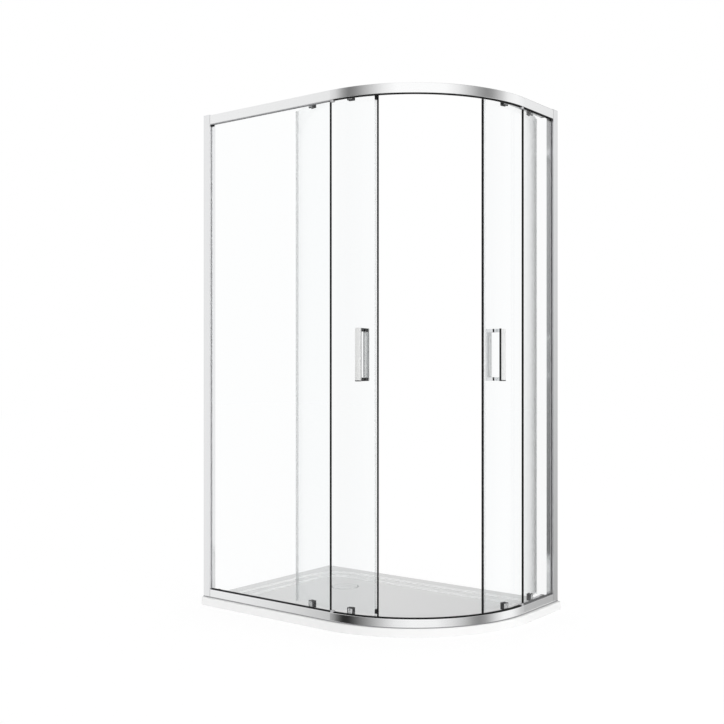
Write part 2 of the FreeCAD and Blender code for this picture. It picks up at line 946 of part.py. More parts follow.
def make_door_stop(side):
    """Rubber stop in the wheel channel, just past the rear trolley of the open door."""
    body = side.body()
    swing = f"rear_bearing - {side.name}_opening"
    pivot = {"left": "tray_length / 2 + left_pivot_x", "right": "tray_width / 2 - right_pivot_y"}
    face = f"{pivot[side.name]} + throw_length * sin({swing}) - trolley_length / 2 - stop_gap"
    profile = new_sketch(body, "YZ", f"{face} - stop_length")
    low = "ledge_top"
    add_loop(
        profile,
        side.section(
            [
                ("channel_start", low),
                ("track_inset - track_slot / 2", low),
                ("track_inset - track_slot / 2", "trolley_low"),
                ("track_inset + track_slot / 2", "trolley_low"),
                ("track_inset + track_slot / 2", low),
                ("channel_end", low),
                ("channel_end", "pocket_roof"),
                ("channel_start", "pocket_roof"),
            ]
        ),
    )
    pad(body, profile, "stop_length")
    return node(f"{side.name}_door_stop", body)


# Sliding doors


@dataclass(frozen=True)
class Door:
    """A curved door as it stands: setbacks are angles behind the meeting line."""

    name: str
    flip: int

    def heading(self, setback):
        """Angle from the front of the curve at a setback behind the meeting line."""
        return f"corner_bisector - {self.flip} * ({setback} + {self.name}_opening)"

    def curved_body(self, setback, z="0"):
        """A body whose XZ plane stands at a setback, for turning towards the leading edge."""
        return new_body(f"{self.name}_arc_x", f"{self.name}_arc_y", z, f"{self.heading(setback)} - 90")

    def radial_body(self, setback, z="0"):
        """A body whose -Y runs outwards through a setback."""
        return new_body(f"{self.name}_arc_x", f"{self.name}_arc_y", z, self.heading(setback))

    def trolley_body(self, setback, swivel, z="0"):
        """A body centred on a roller, swivelled to follow the track."""
        angle = self.heading(setback)
        return new_body(
            f"{self.name}_arc_x + track_radius * sin({angle})",
            f"{self.name}_arc_y - track_radius * cos({angle})",
            z,
            f"{angle} + {self.flip} * ({swivel})",
        )

    def turn(self, body, sketch, angle, kind="Revolution"):
        """Turn a section from the body's XZ plane towards the leading edge."""
        return turn_about_z(body, kind, sketch, angle, backwards=self.flip < 0)


DOORS = [Door("left", 1), Door("right", -1)]
ROLLERS = {"front": ("front_roller_angle", "front_swivel"), "rear": ("rear_roller_angle", "rear_swivel")}
HANDLE_ANGLE = "handle_setback * degrees_per_mm"
CLAMP_SCREW_LEVEL = "glass_high - clamp_grip / 2"
GUIDE_SCREW_LEVEL = "(glass_low + guide_low + guide_height) / 2"


def handle_bolt_levels():
    """Heights of the two bolts of a handle."""
    offset = "(handle_height - handle_arm) / 2"
    return [f"handle_level - {offset}", f"handle_level + {offset}"]


def make_door_glass(door):
    """Curved pane with holes for the clamps, the guides and the handle."""
    body = door.curved_body("trail_glass_angle")
    section = new_sketch(body, "XZ")
    add_box(section, "door_inner", "door_outer", "glass_low", "glass_high")
    door.turn(body, section, "trail_glass_angle - lead_glass_mm * degrees_per_mm")
    stations = [
        (setback, "clamp_screw", [CLAMP_SCREW_LEVEL, GUIDE_SCREW_LEVEL]) for setback, _ in ROLLERS.values()
    ]
    stations.append((HANDLE_ANGLE, "handle_bolt", handle_bolt_levels()))
    for setback, diameter, levels in stations:
        turn = f"90 + {door.flip} * (trail_glass_angle - ({setback}))"
        holes = new_sketch(body, "XZ", "door_inner - glass_thickness", turn)
        for level in levels:
            add_circle(holes, "0", level, diameter)
        pocket(body, holes, "3 * glass_thickness", along_normal=True)
    return node(f"{door.name}_door_glass", body)


def make_lead_seals(door):
    """Clear seal on the leading edge and the dark magnet strip at its tip."""
    lead = "lead_glass_mm * degrees_per_mm"
    grip = "door_seal_grip * degrees_per_mm"
    seal = door.curved_body(f"{lead} + {grip}")
    whole = new_sketch(seal, "XZ")
    add_box(whole, "door_inner - door_seal_lip", "door_outer + door_seal_lip", "glass_low", "glass_high")
    door.turn(seal, whole, f"{grip} + lead_seal_width * degrees_per_mm")
    foot = new_sketch(seal, "XZ")
    add_box(foot, "door_inner - door_seal_lip", "door_outer + door_seal_lip", "glass_low", "magnet_low")
    door.turn(seal, foot, f"{grip} + (lead_seal_width + magnet_width) * degrees_per_mm")
    slot = new_sketch(seal, "XZ")
    add_box(slot, "door_inner", "door_outer", "glass_low", "glass_high")
    door.turn(seal, slot, grip, "Groove")
    node(f"{door.name}_lead_seal", seal)

    strip = door.curved_body("(meeting_gap / 2 + magnet_width) * degrees_per_mm")
    bar = new_sketch(strip, "XZ")
    half = "magnet_depth / 2"
    add_box(bar, f"track_radius - {half}", f"track_radius + {half}", "magnet_low", "glass_high")
    door.turn(strip, bar, "magnet_width * degrees_per_mm")
    node(f"{door.name}_magnet_strip", strip)


def make_trail_seal(door):
    """Pale seal on the trailing edge, with a fin that closes the gap to the fixed pane."""
    body = door.curved_body("door_angle")
    grip = "(door_seal_grip + trail_seal_web) * degrees_per_mm"
    whole = new_sketch(body, "XZ")
    add_box(whole, "door_inner - door_seal_lip", "door_outer + door_seal_lip", "glass_low", "glass_high")
    door.turn(body, whole, grip)
    fin = new_sketch(body, "XZ")
    add_box(fin, "door_outer", "door_outer + trail_seal_fin", "glass_low", "glass_high")
    door.turn(body, fin, "door_seal_lip * degrees_per_mm")
    turn = f"{door.flip} * trail_seal_web * degrees_per_mm"
    slot = new_sketch(body, "XZ", "0", turn)
    add_box(slot, "door_inner", "door_outer", "glass_low", "glass_high")
    door.turn(body, slot, "door_seal_grip * degrees_per_mm", "Groove")
    return node(f"{door.name}_trail_seal", body)


def make_handle(door, label, outwards):
    """Square pull with two arms; outwards is 1 on the outer face and -1 on the inner one."""
    body = door.radial_body(HANDLE_ANGLE)
    face = "door_outer + washer_thickness" if outwards > 0 else "inner_seat - washer_thickness"
    grip = f"-({face} + {outwards} * (handle_projection - washer_thickness))"
    back = f"-({face} + {outwards} * (handle_projection - washer_thickness - handle_bar))"
    seat = f"-({face})"
    low, high = "handle_level - handle_height / 2", "handle_level + handle_height / 2"
    profile = new_sketch(body, "YZ")
    add_loop(
        profile,
        [
            (seat, low),
            (grip, low),
            (grip, high),
            (seat, high),
            (seat, f"{high} - handle_arm"),
            (back, f"{high} - handle_arm"),
            (back, f"{low} + handle_arm"),
            (seat, f"{low} + handle_arm"),
        ],
    )
    bow = pad(body, profile, "handle_width", both_ways=True)
    doc.recompute()
    free = [e for e in bow.Shape.Edges if not is_near(e.BoundBox.Center.y, [value(seat)])]
    round_edges(body, bow, free, "handle_round")
    holes = new_sketch(body, "XZ", face)
    for level in handle_bolt_levels():
        add_circle(holes, "0", level, "handle_bolt")
    pocket(body, holes, "handle_bolt_reach", along_normal=outwards > 0)
    return node(f"{door.name}_{label}", body)


def make_handle_fixings(door):
    """Bolts through the glass between the two pulls, and the dark washers beside it."""
    bolts = []
    washers = []
    for level in handle_bolt_levels():
        bolt = door.radial_body(HANDLE_ANGLE)
        reach = "washer_thickness + handle_bolt_reach"
        round_bar = new_sketch(bolt, "XZ", f"inner_seat - ({reach})")
        add_circle(round_bar, "0", level, "handle_bolt")
        pad(bolt, round_bar, f"door_outer - inner_seat + 2 * ({reach})")
        bolts.append(bolt)
        for start in ("door_outer", "inner_seat - washer_thickness"):
            washer = door.radial_body(HANDLE_ANGLE)
            ring = new_sketch(washer, "XZ", start)
            add_circle(ring, "0", level, "washer_diameter")
            add_circle(ring, "0", level, "handle_bolt")
            pad(washer, ring, "washer_thickness")
            washers.append(washer)
    group(f"{door.name}_handle_bolts", bolts)
    group(f"{door.name}_handle_washers", washers)


def make_edge_grip(door, setback, corners, screw_level, bore):
    """A block bent with the glass that grips its edge, with a screw hole and a blind bore."""
    half = "clamp_width / 2 * degrees_per_mm"
    body = door.curved_body(f"{setback} + {half}")
    profile = new_sketch(body, "XZ")
    add_loop(profile, corners)
    door.turn(body, profile, f"2 * {half}")
    side_turn = f"90 + {door.flip} * {half}"
    hole = new_sketch(body, "XZ", "track_radius - clamp_depth", side_turn)
    add_circle(hole, "0", screw_level, "clamp_screw")
    pocket(body, hole, "2 * clamp_depth", along_normal=True)
    level, diameter, depth, upwards = bore
    mouth = new_sketch(body, "XY", level)
    turned = f"{door.flip} * {half}"
    add_circle(mouth, f"track_radius * cos({turned})", f"track_radius * sin({turned})", diameter)
    pocket(body, mouth, depth, along_normal=upwards)
    return body


def make_clamps(door):
    """Clamps on the top edge and guides on the bottom edge of the glass."""
    inner, outer = "track_radius - clamp_depth / 2", "track_radius + clamp_depth / 2"
    clamp_low = "glass_high - clamp_grip"
    clamp_shape = [
        (inner, clamp_low),
        ("door_inner", clamp_low),
        ("door_inner", "glass_high"),
        ("door_outer", "glass_high"),
        ("door_outer", clamp_low),
        (outer, clamp_low),
        (outer, "clamp_top"),
        (inner, "clamp_top"),
    ]
    guide_high = "guide_low + guide_height"
    guide_shape = [
        (inner, "guide_low"),
        (outer, "guide_low"),
        (outer, guide_high),
        ("door_outer", guide_high),
        ("door_outer", "glass_low"),
        ("door_inner", "glass_low"),
        ("door_inner", guide_high),
        (inner, guide_high),
    ]
    stud_bore = ("clamp_top", "stud_diameter", "stud_in_clamp", False)
    foot_bore = ("guide_low", "foot_spigot", "foot_spigot_height", True)
    clamps = []
    guides = []
    for setback, _ in ROLLERS.values():
        clamps.append(make_edge_grip(door, setback, clamp_shape, CLAMP_SCREW_LEVEL, stud_bore))
        guides.append(make_edge_grip(door, setback, guide_shape, GUIDE_SCREW_LEVEL, foot_bore))
    group(f"{door.name}_top_clamps", clamps)
    group(f"{door.name}_bottom_guides", guides)


def make_clamp_screws(door):
    """Screws through the clamps, the guides and the glass."""
    screws = []
    for setback, _ in ROLLERS.values():
        for level in (CLAMP_SCREW_LEVEL, GUIDE_SCREW_LEVEL):
            body = door.radial_body(setback)
            shank = new_sketch(body, "XZ", "track_radius - clamp_depth / 2")
            add_circle(shank, "0", level, "clamp_screw")
            pad(body, shank, "clamp_depth")
            screws.append(body)
    return group(f"{door.name}_clamp_screws", screws)


def make_guide_feet(door):
    """Plastic pegs under the guides that run in the bottom rail's groove."""
    feet = []
    for setback, _ in ROLLERS.values():
        body = door.radial_body(setback)
        low = "pocket_floor + foot_clearance"
        peg = new_sketch(body, "XY", low)
        add_circle(peg, "0", "-track_radius", "foot_diameter")
        pad(body, peg, f"guide_low - ({low})")
        spigot = new_sketch(body, "XY", "guide_low")
        add_circle(spigot, "0", "-track_radius", "foot_spigot")
        pad(body, spigot, "foot_spigot_height")
        feet.append(body)
    return group(f"{door.name}_guide_feet", feet)


def make_trolley(door, setback, swivel):
    """Block in the wheel channel that carries the axle and takes the stud."""
    body = door.trolley_body(setback, swivel)
    plan = new_sketch(body, "XY", "trolley_low")
    add_box(plan, "-trolley_length / 2", "trolley_length / 2", "-trolley_depth / 2", "trolley_depth / 2")
    pad(body, plan, "trolley_height")
    bore = new_sketch(body, "XZ", "-trolley_depth")
    add_circle(bore, "0", "axle_level", "axle_diameter")
    pocket(body, bore, "2 * trolley_depth", along_normal=True)
    thread = new_sketch(body, "XY", "trolley_low")
    add_circle(thread, "0", "0", "stud_diameter")
    pocket(body, thread, "stud_in_trolley", along_normal=True)
    return body


def make_stud(door, setback, swivel):
    """Hanging stud from the trolley to the clamp, with its adjusting collar."""
    body = door.trolley_body(setback, swivel)
    rod = new_sketch(body, "XY", "clamp_top - stud_in_clamp")
    add_circle(rod, "0", "0", "stud_diameter")
    pad(body, rod, "trolley_low + stud_in_trolley - clamp_top + stud_in_clamp")
    collar = new_sketch(body, "XY", "clamp_top")
    add_circle(collar, "0", "0", "stud_collar")
    pad(body, collar, "stud_collar_height")
    return body


def make_axle(door, setback, swivel):
    """Axle across the trolley with a head beyond each wheel."""
    body = door.trolley_body(setback, swivel)
    half = "wheel_gauge / 2 + wheel_width + axle_end_play"
    shaft = new_sketch(body, "XZ", f"-({half})")
    add_circle(shaft, "0", "axle_level", "axle_diameter")
    pad(body, shaft, f"2 * ({half})")
    for start in (half, f"-({half}) - axle_head_width"):
        head = new_sketch(body, "XZ", start)
        add_circle(head, "0", "axle_level", "axle_head")
        pad(body, head, "axle_head_width")
    return body


def make_wheels(door, roller, setback, swivel):
    """The pair of wheels on one axle, one on each ledge of the top rail."""
    wheels = []
    for start in ("wheel_gauge / 2", "-wheel_gauge / 2 - wheel_width"):
        body = door.trolley_body(setback, swivel)
        disc = new_sketch(body, "XZ", start)
        add_circle(disc, "0", "axle_level", "wheel_diameter")
        add_circle(disc, "0", "axle_level", "axle_diameter + 2 * axle_play")
        pad(body, disc, "wheel_width")
        wheels.append(body)
    return group(f"{door.name}_{roller}_wheels", wheels)


def make_running_gear(door):
    """Trolleys, studs, axles and wheels of one door."""
    stations = list(ROLLERS.values())
    group(f"{door.name}_trolleys", [make_trolley(door, *station) for station in stations])
    group(f"{door.name}_hanger_studs", [make_stud(door, *station) for station in stations])
    group(f"{door.name}_axles", [make_axle(door, *station) for station in stations])
    for roller, station in ROLLERS.items():
        make_wheels(door, roller, *station)


def make_door(door):
    """Every piece of one door."""
    make_door_glass(door)
    make_lead_seals(door)
    make_trail_seal(door)
    make_handle(door, "handle_outer", 1)
    make_handle(door, "handle_inner", -1)
    make_handle_fixings(door)
    make_clamps(door)
    make_clamp_screws(door)
    make_guide_feet(door)
    make_running_gear(door)


# Checks and files


def check_document():
    """Stop where a feature failed, a cut removed nothing or a piece is not sound."""
    failed = [o.Label for o in doc.Objects if {"Invalid", "Error"} & set(o.State)]
    if failed:
        raise RuntimeError(f"failed features: {failed}")
    cuts = [o for o in doc.Objects if o.TypeId in ("PartDesign::Pocket", "PartDesign::Groove")]
    empty = [o.getParentGeoFeatureGroup().Label for o in cuts if o.Shape.Volume >= o.BaseFeature.Shape.Volume]
    if empty:
        raise RuntimeError(f"cuts that remove nothing: {empty}")
    for piece in nodes:
        if piece.Shape.isNull() or not piece.Shape.isValid() or not piece.Shape.Solids:
            raise RuntimeError(f"unsound piece: {piece.Label}")


def write_files():
    """Write each piece to its own file."""
    os.makedirs("parts", exist_ok=True)
    for piece in nodes:
        piece.Shape.exportStep(f"parts/{piece.Label}.step")
    solids = sum(len(piece.Shape.Solids) for piece in nodes)
    print(f"{len(nodes)} pieces, {solids} solids")


def main():
    """Build the enclosure from the tray upwards."""
    fill_sheet()
    make_tray()
    make_waste()
    make_rails()
    make_fillers()
    post_screws = []
    post_caps = []
    for side in SIDES:
        make_wall_channel(side)
        make_post(side)
        make_fixed_pane(side)
        make_post_gasket(side)
        make_rail_gaskets(side)
        make_end_seal(side)
        make_door_stop(side)
        post_screws += make_post_screws(side)
        post_caps.append(make_post_cap(side))
    group("post_screws", post_screws)
    group("post_caps", post_caps)
    make_end_blocks()
    for door in DOORS:
        make_door(door)
    doc.recompute()
    check_document()
    write_files()


main()
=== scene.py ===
"""Looks of a corner shower enclosure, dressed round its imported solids."""

import json
import logging
import math
from dataclasses import dataclass
from enum import Enum
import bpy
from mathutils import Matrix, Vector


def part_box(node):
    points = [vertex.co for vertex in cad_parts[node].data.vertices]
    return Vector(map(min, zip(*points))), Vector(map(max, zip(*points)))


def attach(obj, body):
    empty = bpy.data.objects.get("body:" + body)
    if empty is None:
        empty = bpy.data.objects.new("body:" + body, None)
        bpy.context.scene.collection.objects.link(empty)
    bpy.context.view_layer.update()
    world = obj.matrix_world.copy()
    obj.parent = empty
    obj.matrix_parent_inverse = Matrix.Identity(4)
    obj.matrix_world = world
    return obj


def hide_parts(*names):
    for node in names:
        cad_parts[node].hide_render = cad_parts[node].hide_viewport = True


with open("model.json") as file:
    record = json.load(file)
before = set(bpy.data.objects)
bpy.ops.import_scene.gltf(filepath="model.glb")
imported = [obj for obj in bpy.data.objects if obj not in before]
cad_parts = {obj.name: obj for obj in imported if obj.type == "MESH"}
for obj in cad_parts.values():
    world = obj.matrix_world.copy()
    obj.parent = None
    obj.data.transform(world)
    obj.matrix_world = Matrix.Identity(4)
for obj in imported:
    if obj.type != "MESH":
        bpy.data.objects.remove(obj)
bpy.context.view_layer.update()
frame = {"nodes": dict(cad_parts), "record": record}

from types import MappingProxyType
from typing import Any, Mapping, Optional, Sequence, Union

import bmesh
import bpy
from mathutils import Matrix, Vector

log = logging.getLogger("shower_enclosure")

Colour = tuple[float, float, float]
Point = tuple[float, float, float]
Stops = tuple[tuple[float, float], ...]
Number = Union[float, "Wire"]

SIDES = ("left", "right")
NO_VALUES: Mapping[Any, Any] = MappingProxyType({})

# Degrees by which each roller's axle is turned out of the clamp's own direction
SWIVELS = {"front": -2.0, "rear": 5.0}


class Along(Enum):
    """The way that the fine lines of a drawn or moulded surface run."""

    LEVEL = (3.0, 3.0, 900.0)
    UPRIGHT = (900.0, 900.0, 3.0)
    NONE = (120.0, 120.0, 120.0)


class Wire:
    """A shader value; arithmetic on it adds Math nodes."""

    def __init__(self, graph: "Graph", socket: bpy.types.NodeSocket) -> None:
        """Keep the graph and the socket that gives the value.

        Args:
            graph: the node tree that new nodes go to.
            socket: the output that holds the value.
        """
        self.graph = graph
        self.socket = socket

    def _math(self, operation: str, first: Number, second: Number) -> "Wire":
        """A Math node on two values.

        Args:
            operation: the Math node's operation.
            first: its first value.
            second: its second value.

        Returns:
            The node's result.
        """
        return self.graph.wire("ShaderNodeMath", {"operation": operation}, {0: first, 1: second})

    def __add__(self, other: Number) -> "Wire":
        """Sum."""
        return self._math("ADD", self, other)

    def __radd__(self, other: Number) -> "Wire":
        """Sum with the number first."""
        return self._math("ADD", other, self)

    def __sub__(self, other: Number) -> "Wire":
        """Difference."""
        return self._math("SUBTRACT", self, other)

    def __rsub__(self, other: Number) -> "Wire":
        """Difference from a number."""
        return self._math("SUBTRACT", other, self)

    def __mul__(self, other: Number) -> "Wire":
        """Product."""
        return self._math("MULTIPLY", self, other)

    def __rmul__(self, other: Number) -> "Wire":
        """Product with the number first."""
        return self._math("MULTIPLY", other, self)

    def __truediv__(self, other: Number) -> "Wire":
        """Quotient."""
        return self._math("DIVIDE", self, other)

    def __rtruediv__(self, other: Number) -> "Wire":
        """Quotient with the number first."""
        return self._math("DIVIDE", other, self)

    def at_most(self, other: Number) -> "Wire":
        """The lesser of two values."""
        return self._math("MINIMUM", self, other)

    def at_least(self, other: Number) -> "Wire":
        """The greater of two values."""
        return self._math("MAXIMUM", self, other)

    def above(self, other: Number) -> "Wire":
        """1 where this value is the greater, otherwise 0."""
        return self._math("GREATER_THAN", self, other)

    def power(self, other: Number) -> "Wire":
        """This value raised to another."""
        return self._math("POWER", self, other)

    def bearing(self, other: Number) -> "Wire":
        """The angle whose sine and cosine are this value and the other."""
        return self._math("ARCTAN2", self, other)


class Graph:
    """The node tree of a material or of the world."""

    def __init__(self, tree: bpy.types.NodeTree) -> None:
        """Start from an empty tree.

        Args:
            tree: the node tree to fill.
        """
        self.tree = tree
        tree.nodes.clear()

    def node(
        self,
        kind: str,
        settings: Mapping[str, Any] = NO_VALUES,
        inputs: Mapping[Union[int, str], Any] = NO_VALUES,
    ) -> bpy.types.Node:
        """Add a node.

        Args:
            kind: the node's type.
            settings: its properties, or the stops of a ramp.
            inputs: a value or link for each named or numbered socket.

        Returns:
            The node.
        """
        made = self.tree.nodes.new(kind)
        for name, setting in settings.items():
            if name == "stops":
                self._fill_ramp(made.color_ramp, setting)
            else:
                setattr(made, name, setting)
        for key, given in inputs.items():
            if isinstance(given, Wire):
                self.tree.links.new(given.socket, made.inputs[key])
            else:
                made.inputs[key].default_value = given
        return made

    def wire(
        self,
        kind: str,
        settings: Mapping[str, Any] = NO_VALUES,
        inputs: Mapping[Union[int, str], Any] = NO_VALUES,
        output: Union[int, str] = 0,
    ) -> Wire:
        """Add a node and take one of its outputs.

        Args:
            kind: the node's type.
            settings: its properties, or the stops of a ramp.
            inputs: a value or link for each named or numbered socket.
            output: the output to take.

        Returns:
            That output.
        """
        return Wire(self, self.node(kind, settings, inputs).outputs[output])

    def blend(self, share: Number, first: Any, second: Any) -> Wire:
        """Mix two colours.

        Args:
            share: how much of the second colour is taken.
            first: the colour at 0.
            second: the colour at 1.

        Returns:
            The mixed colour.
        """
        return self.wire(
            "ShaderNodeMix",
            {"data_type": "RGBA"},
            {"Factor": share, 6: self._rgba(first), 7: self._rgba(second)},
            2,
        )

    def noise(self, place: Wire, scale: float, detail: float = 3.0) -> Wire:
        """Cloudy noise from 0 to 1.

        Args:
            place: the coordinates.
            scale: clouds per metre.
            detail: how many finer layers are added.

        Returns:
            The noise.
        """
        inputs = {"Vector": place, "Scale": scale, "Detail": detail}
        return self.wire("ShaderNodeTexNoise", {}, inputs)

    @staticmethod
    def _rgba(colour: Any) -> Any:
        """A colour with its alpha, or the wire as it is."""
        return colour if isinstance(colour, Wire) else (*colour, 1.0)

    @staticmethod
    def _fill_ramp(ramp: bpy.types.ColorRamp, stops: Stops) -> None:
        """Set a ramp's grey stops.

        Args:
            ramp: the ramp to fill.
            stops: place and grey of each stop, in order.
        """
        while len(ramp.elements) < len(stops):
            ramp.elements.new(1.0)
        for element, (place, grey) in zip(ramp.elements, stops):
            element.position = place
            element.color = (grey, grey, grey, 1.0)


@dataclass(frozen=True)
class Finish:
    """A solid surface with cloudy colour, uneven gloss and fine relief."""

    name: str
    colour: Colour
    second_colour: Colour
    roughness: float
    roughness_spread: float = 0.04
    metallic: float = 0.0
    cloud_scale: float = 9.0
    lines: Along = Along.NONE
    relief: float = 0.02
    relief_depth: float = 0.0002
    coat: float = 0.0
    alpha: float = 1.0
    specular: float = 0.5
    # A second colour above parting_height; the rail gaskets use it for painted light on one rail's
    # part.
    upper_colour: Optional[Colour] = None
    parting_height: float = 1.0

    def material(self) -> bpy.types.Material:
        """The finish as a material.

        Returns:
            A new material.
        """
        made = bpy.data.materials.new(self.name)
        made.use_nodes = True
        graph = Graph(made.node_tree)
        place = graph.wire("ShaderNodeTexCoord", output="Object")
        clouds = graph.noise(place, self.cloud_scale)
        stretched = graph.wire(
            "ShaderNodeVectorMath", {"operation": "MULTIPLY"}, {0: place, 1: self.lines.value}
        )
        grain = graph.noise(stretched, 1.0)
        bump = graph.wire(
            "ShaderNodeBump",
            {},
            {"Strength": self.relief, "Distance": self.relief_depth, "Height": grain},
        )
        colour = graph.blend(clouds, self.colour, self.second_colour)
        # Above the parting height the upper colour takes over: painted light on the rail gaskets.
        if self.upper_colour is not None:
            height = graph.wire("ShaderNodeSeparateXYZ", {}, {0: place}, "Z")
            colour = graph.blend(height.above(self.parting_height), colour, self.upper_colour)
        alpha: Number = self.alpha
        if alpha < 1.0:
            alpha = alpha * (1.0 - graph.wire("ShaderNodeNewGeometry", output="Backfacing"))
        shader = graph.wire(
            "ShaderNodeBsdfPrincipled",
            {},
            {
                "Base Color": colour,
                "Roughness": self.roughness + self.roughness_spread * (grain + clouds - 1.0),
                "Metallic": self.metallic,
                "Coat Weight": self.coat,
                "Alpha": alpha,
                "Specular IOR Level": self.specular,
                "Normal": bump,
            },
        )
        graph.node("ShaderNodeOutputMaterial", {}, {"Surface": shader})
        return made


@dataclass(frozen=True)
class ClearGlass:
    """Toughened pane: see-through, faintly tinted, mirroring more at a glancing angle."""

    name: str
    tint: Colour
    second_tint: Colour
    straight: float = 0.02
    glancing: float = 0.9
    rise: float = 5.0
    mirror_roughness: float = 0.02
    film_scale: float = 1.6
    film_detail: float = 1.0

    def material(self) -> bpy.types.Material:
        """The glass as a material.

        Returns:
            A new material.
        """
        made = bpy.data.materials.new(self.name)
        made.use_nodes = True
        graph = Graph(made.node_tree)
        place = graph.wire("ShaderNodeTexCoord", output="Object")
        film = graph.noise(place, self.film_scale, self.film_detail)
        clear = graph.wire(
            "ShaderNodeBsdfTransparent", {}, {"Color": graph.blend(film, self.tint, self.second_tint)}
        )
        mirror = graph.wire(
            "ShaderNodeBsdfPrincipled",
            {},
            {"Base Color": (1.0, 1.0, 1.0, 1.0), "Metallic": 1.0, "Roughness": self.mirror_roughness},
        )
        facing = graph.wire("ShaderNodeLayerWeight", {}, {"Blend": 0.5}, "Facing")
        share = self.straight + (self.glancing - self.straight) * facing.power(self.rise)
        shader = graph.wire("ShaderNodeMixShader", {}, {0: share, 1: clear, 2: mirror})
        graph.node("ShaderNodeOutputMaterial", {}, {"Surface": shader})
        return made


TRAY_WHITE = Finish(
    "tray_acrylic", (0.92, 0.92, 0.915), (0.90, 0.90, 0.90), 0.20, 0.05,
    cloud_scale=5.0, coat=0.2,
)
COVER_WHITE = Finish(
    "cover_acrylic", (0.90, 0.90, 0.90), (0.86, 0.86, 0.86), 0.22, coat=0.2,
)
RAIL_METAL = Finish(
    "rail_polish", (0.97, 0.973, 0.975), (0.955, 0.96, 0.965), 0.10, 0.03, 1.0,
    lines=Along.LEVEL,
)
POST_METAL = Finish(
    "post_polish", (0.92, 0.925, 0.93), (0.90, 0.905, 0.915), 0.10, 0.03, 1.0,
    lines=Along.UPRIGHT,
)
CHANNEL_METAL = Finish(
    "channel_mill", (0.72, 0.73, 0.74), (0.66, 0.67, 0.68), 0.34, 0.08, 1.0,
    lines=Along.UPRIGHT, relief=0.1,
)
CHROME = Finish(
    "chrome_plate", (0.90, 0.905, 0.915), (0.87, 0.88, 0.89), 0.05, 0.02, 1.0, relief=0.01,
)
STEEL = Finish(
    "screw_steel", (0.68, 0.69, 0.70), (0.60, 0.61, 0.62), 0.24, 0.08, 1.0, relief=0.06,
)
BLACK_RUBBER = Finish(
    "black_rubber", (0.004, 0.004, 0.0045), (0.008, 0.008, 0.0085), 0.6, 0.1,
    relief=0.15, specular=0.1,
)
BLACK_PLASTIC = Finish(
    "black_plastic", (0.010, 0.010, 0.011), (0.018, 0.018, 0.020), 0.45, 0.1,
    relief=0.12, specular=0.2,
)
# Black rubber rail gaskets of the left door, their top-rail part painted light grey: painted light.
LEFT_GASKET_PAINTED_LIGHT = Finish(
    "left_gasket", (0.012, 0.012, 0.013), (0.022, 0.022, 0.024), 0.6, 0.1,
    relief=0.15, specular=0.15, upper_colour=(0.34, 0.34, 0.35),
)
# Rubber rail gaskets of the right door, black at the top rail and painted grey at the bottom rail:
# painted light.
RIGHT_GASKET_PAINTED_LIGHT = Finish(
    "right_gasket", (0.17, 0.17, 0.175), (0.21, 0.21, 0.215), 0.6, 0.1,
    relief=0.15, specular=0.15, upper_colour=(0.006, 0.006, 0.0065),
)
# The left post's gasket, painted paler than the right post's gasket below: painted light on one copy of
# the same gasket.
PALE_GASKET_PAINTED_LIGHT = Finish(
    "pale_gasket", (0.72, 0.72, 0.73), (0.66, 0.66, 0.67), 0.5, 0.1,
    lines=Along.UPRIGHT, relief=0.15,
)
POST_GASKET = Finish(
    "post_gasket", (0.40, 0.40, 0.41), (0.34, 0.34, 0.35), 0.5, 0.1,
    lines=Along.UPRIGHT, relief=0.15,
)
SATIN_PLATE = Finish(
    "satin_plate", (0.79, 0.795, 0.79), (0.76, 0.765, 0.76), 0.36, 0.05, 0.2,
    lines=Along.UPRIGHT, relief=0.04,
)
# Mid grey for the back of the left door's outer pull: painted reflection; the right door's back is
# black, also painted reflection.
SATIN_GREY_PAINTED_REFLECTION = Finish(
    "satin_grey", (0.40, 0.40, 0.405), (0.36, 0.36, 0.365), 0.36, 0.05, 0.2,
    lines=Along.UPRIGHT, relief=0.04,
)
GRIP_PLATE = Finish(
    "grip_plate", (0.68, 0.685, 0.69), (0.63, 0.635, 0.64), 0.40, 0.05, 0.1,
    lines=Along.UPRIGHT, relief=0.04,
)
GRIP_GREY = Finish(
    "grip_grey", (0.055, 0.055, 0.057), (0.075, 0.075, 0.078), 0.45, 0.08,
    relief=0.1, specular=0.3,
)
SHOE_GREY = Finish(
    "shoe_grey", (0.48, 0.48, 0.49), (0.42, 0.42, 0.43), 0.45, 0.08,
    relief=0.08, specular=0.3,
)
# Dark grey of the sill bead and of the rail joint strips: painted shade for the shadow lines at those
# joints; the bead itself stands for a real seal.
SEALANT_AND_PAINTED_SHADE = Finish(
    "sealant", (0.22, 0.22, 0.23), (0.28, 0.28, 0.29), 0.4, 0.08,
    relief=0.1, specular=0.2,
)
LEAD_SEAL = Finish(
    "lead_seal", (0.60, 0.62, 0.63), (0.56, 0.58, 0.59), 0.28, 0.06,
    lines=Along.UPRIGHT, alpha=0.20,
)
TRAIL_SEAL = Finish(
    "trail_seal", (0.74, 0.76, 0.77), (0.70, 0.72, 0.73), 0.28, 0.06,
    lines=Along.UPRIGHT, alpha=0.50,
)
NYLON = Finish(
    "white_nylon", (0.86, 0.86, 0.84), (0.80, 0.80, 0.78), 0.38, 0.08, relief=0.08,
)
PANE = ClearGlass("pane_glass", (0.997, 0.999, 0.999), (0.993, 0.997, 0.998))
DOOR_PANE = ClearGlass("door_glass", (0.993, 0.997, 0.998), (0.987, 0.993, 0.995))

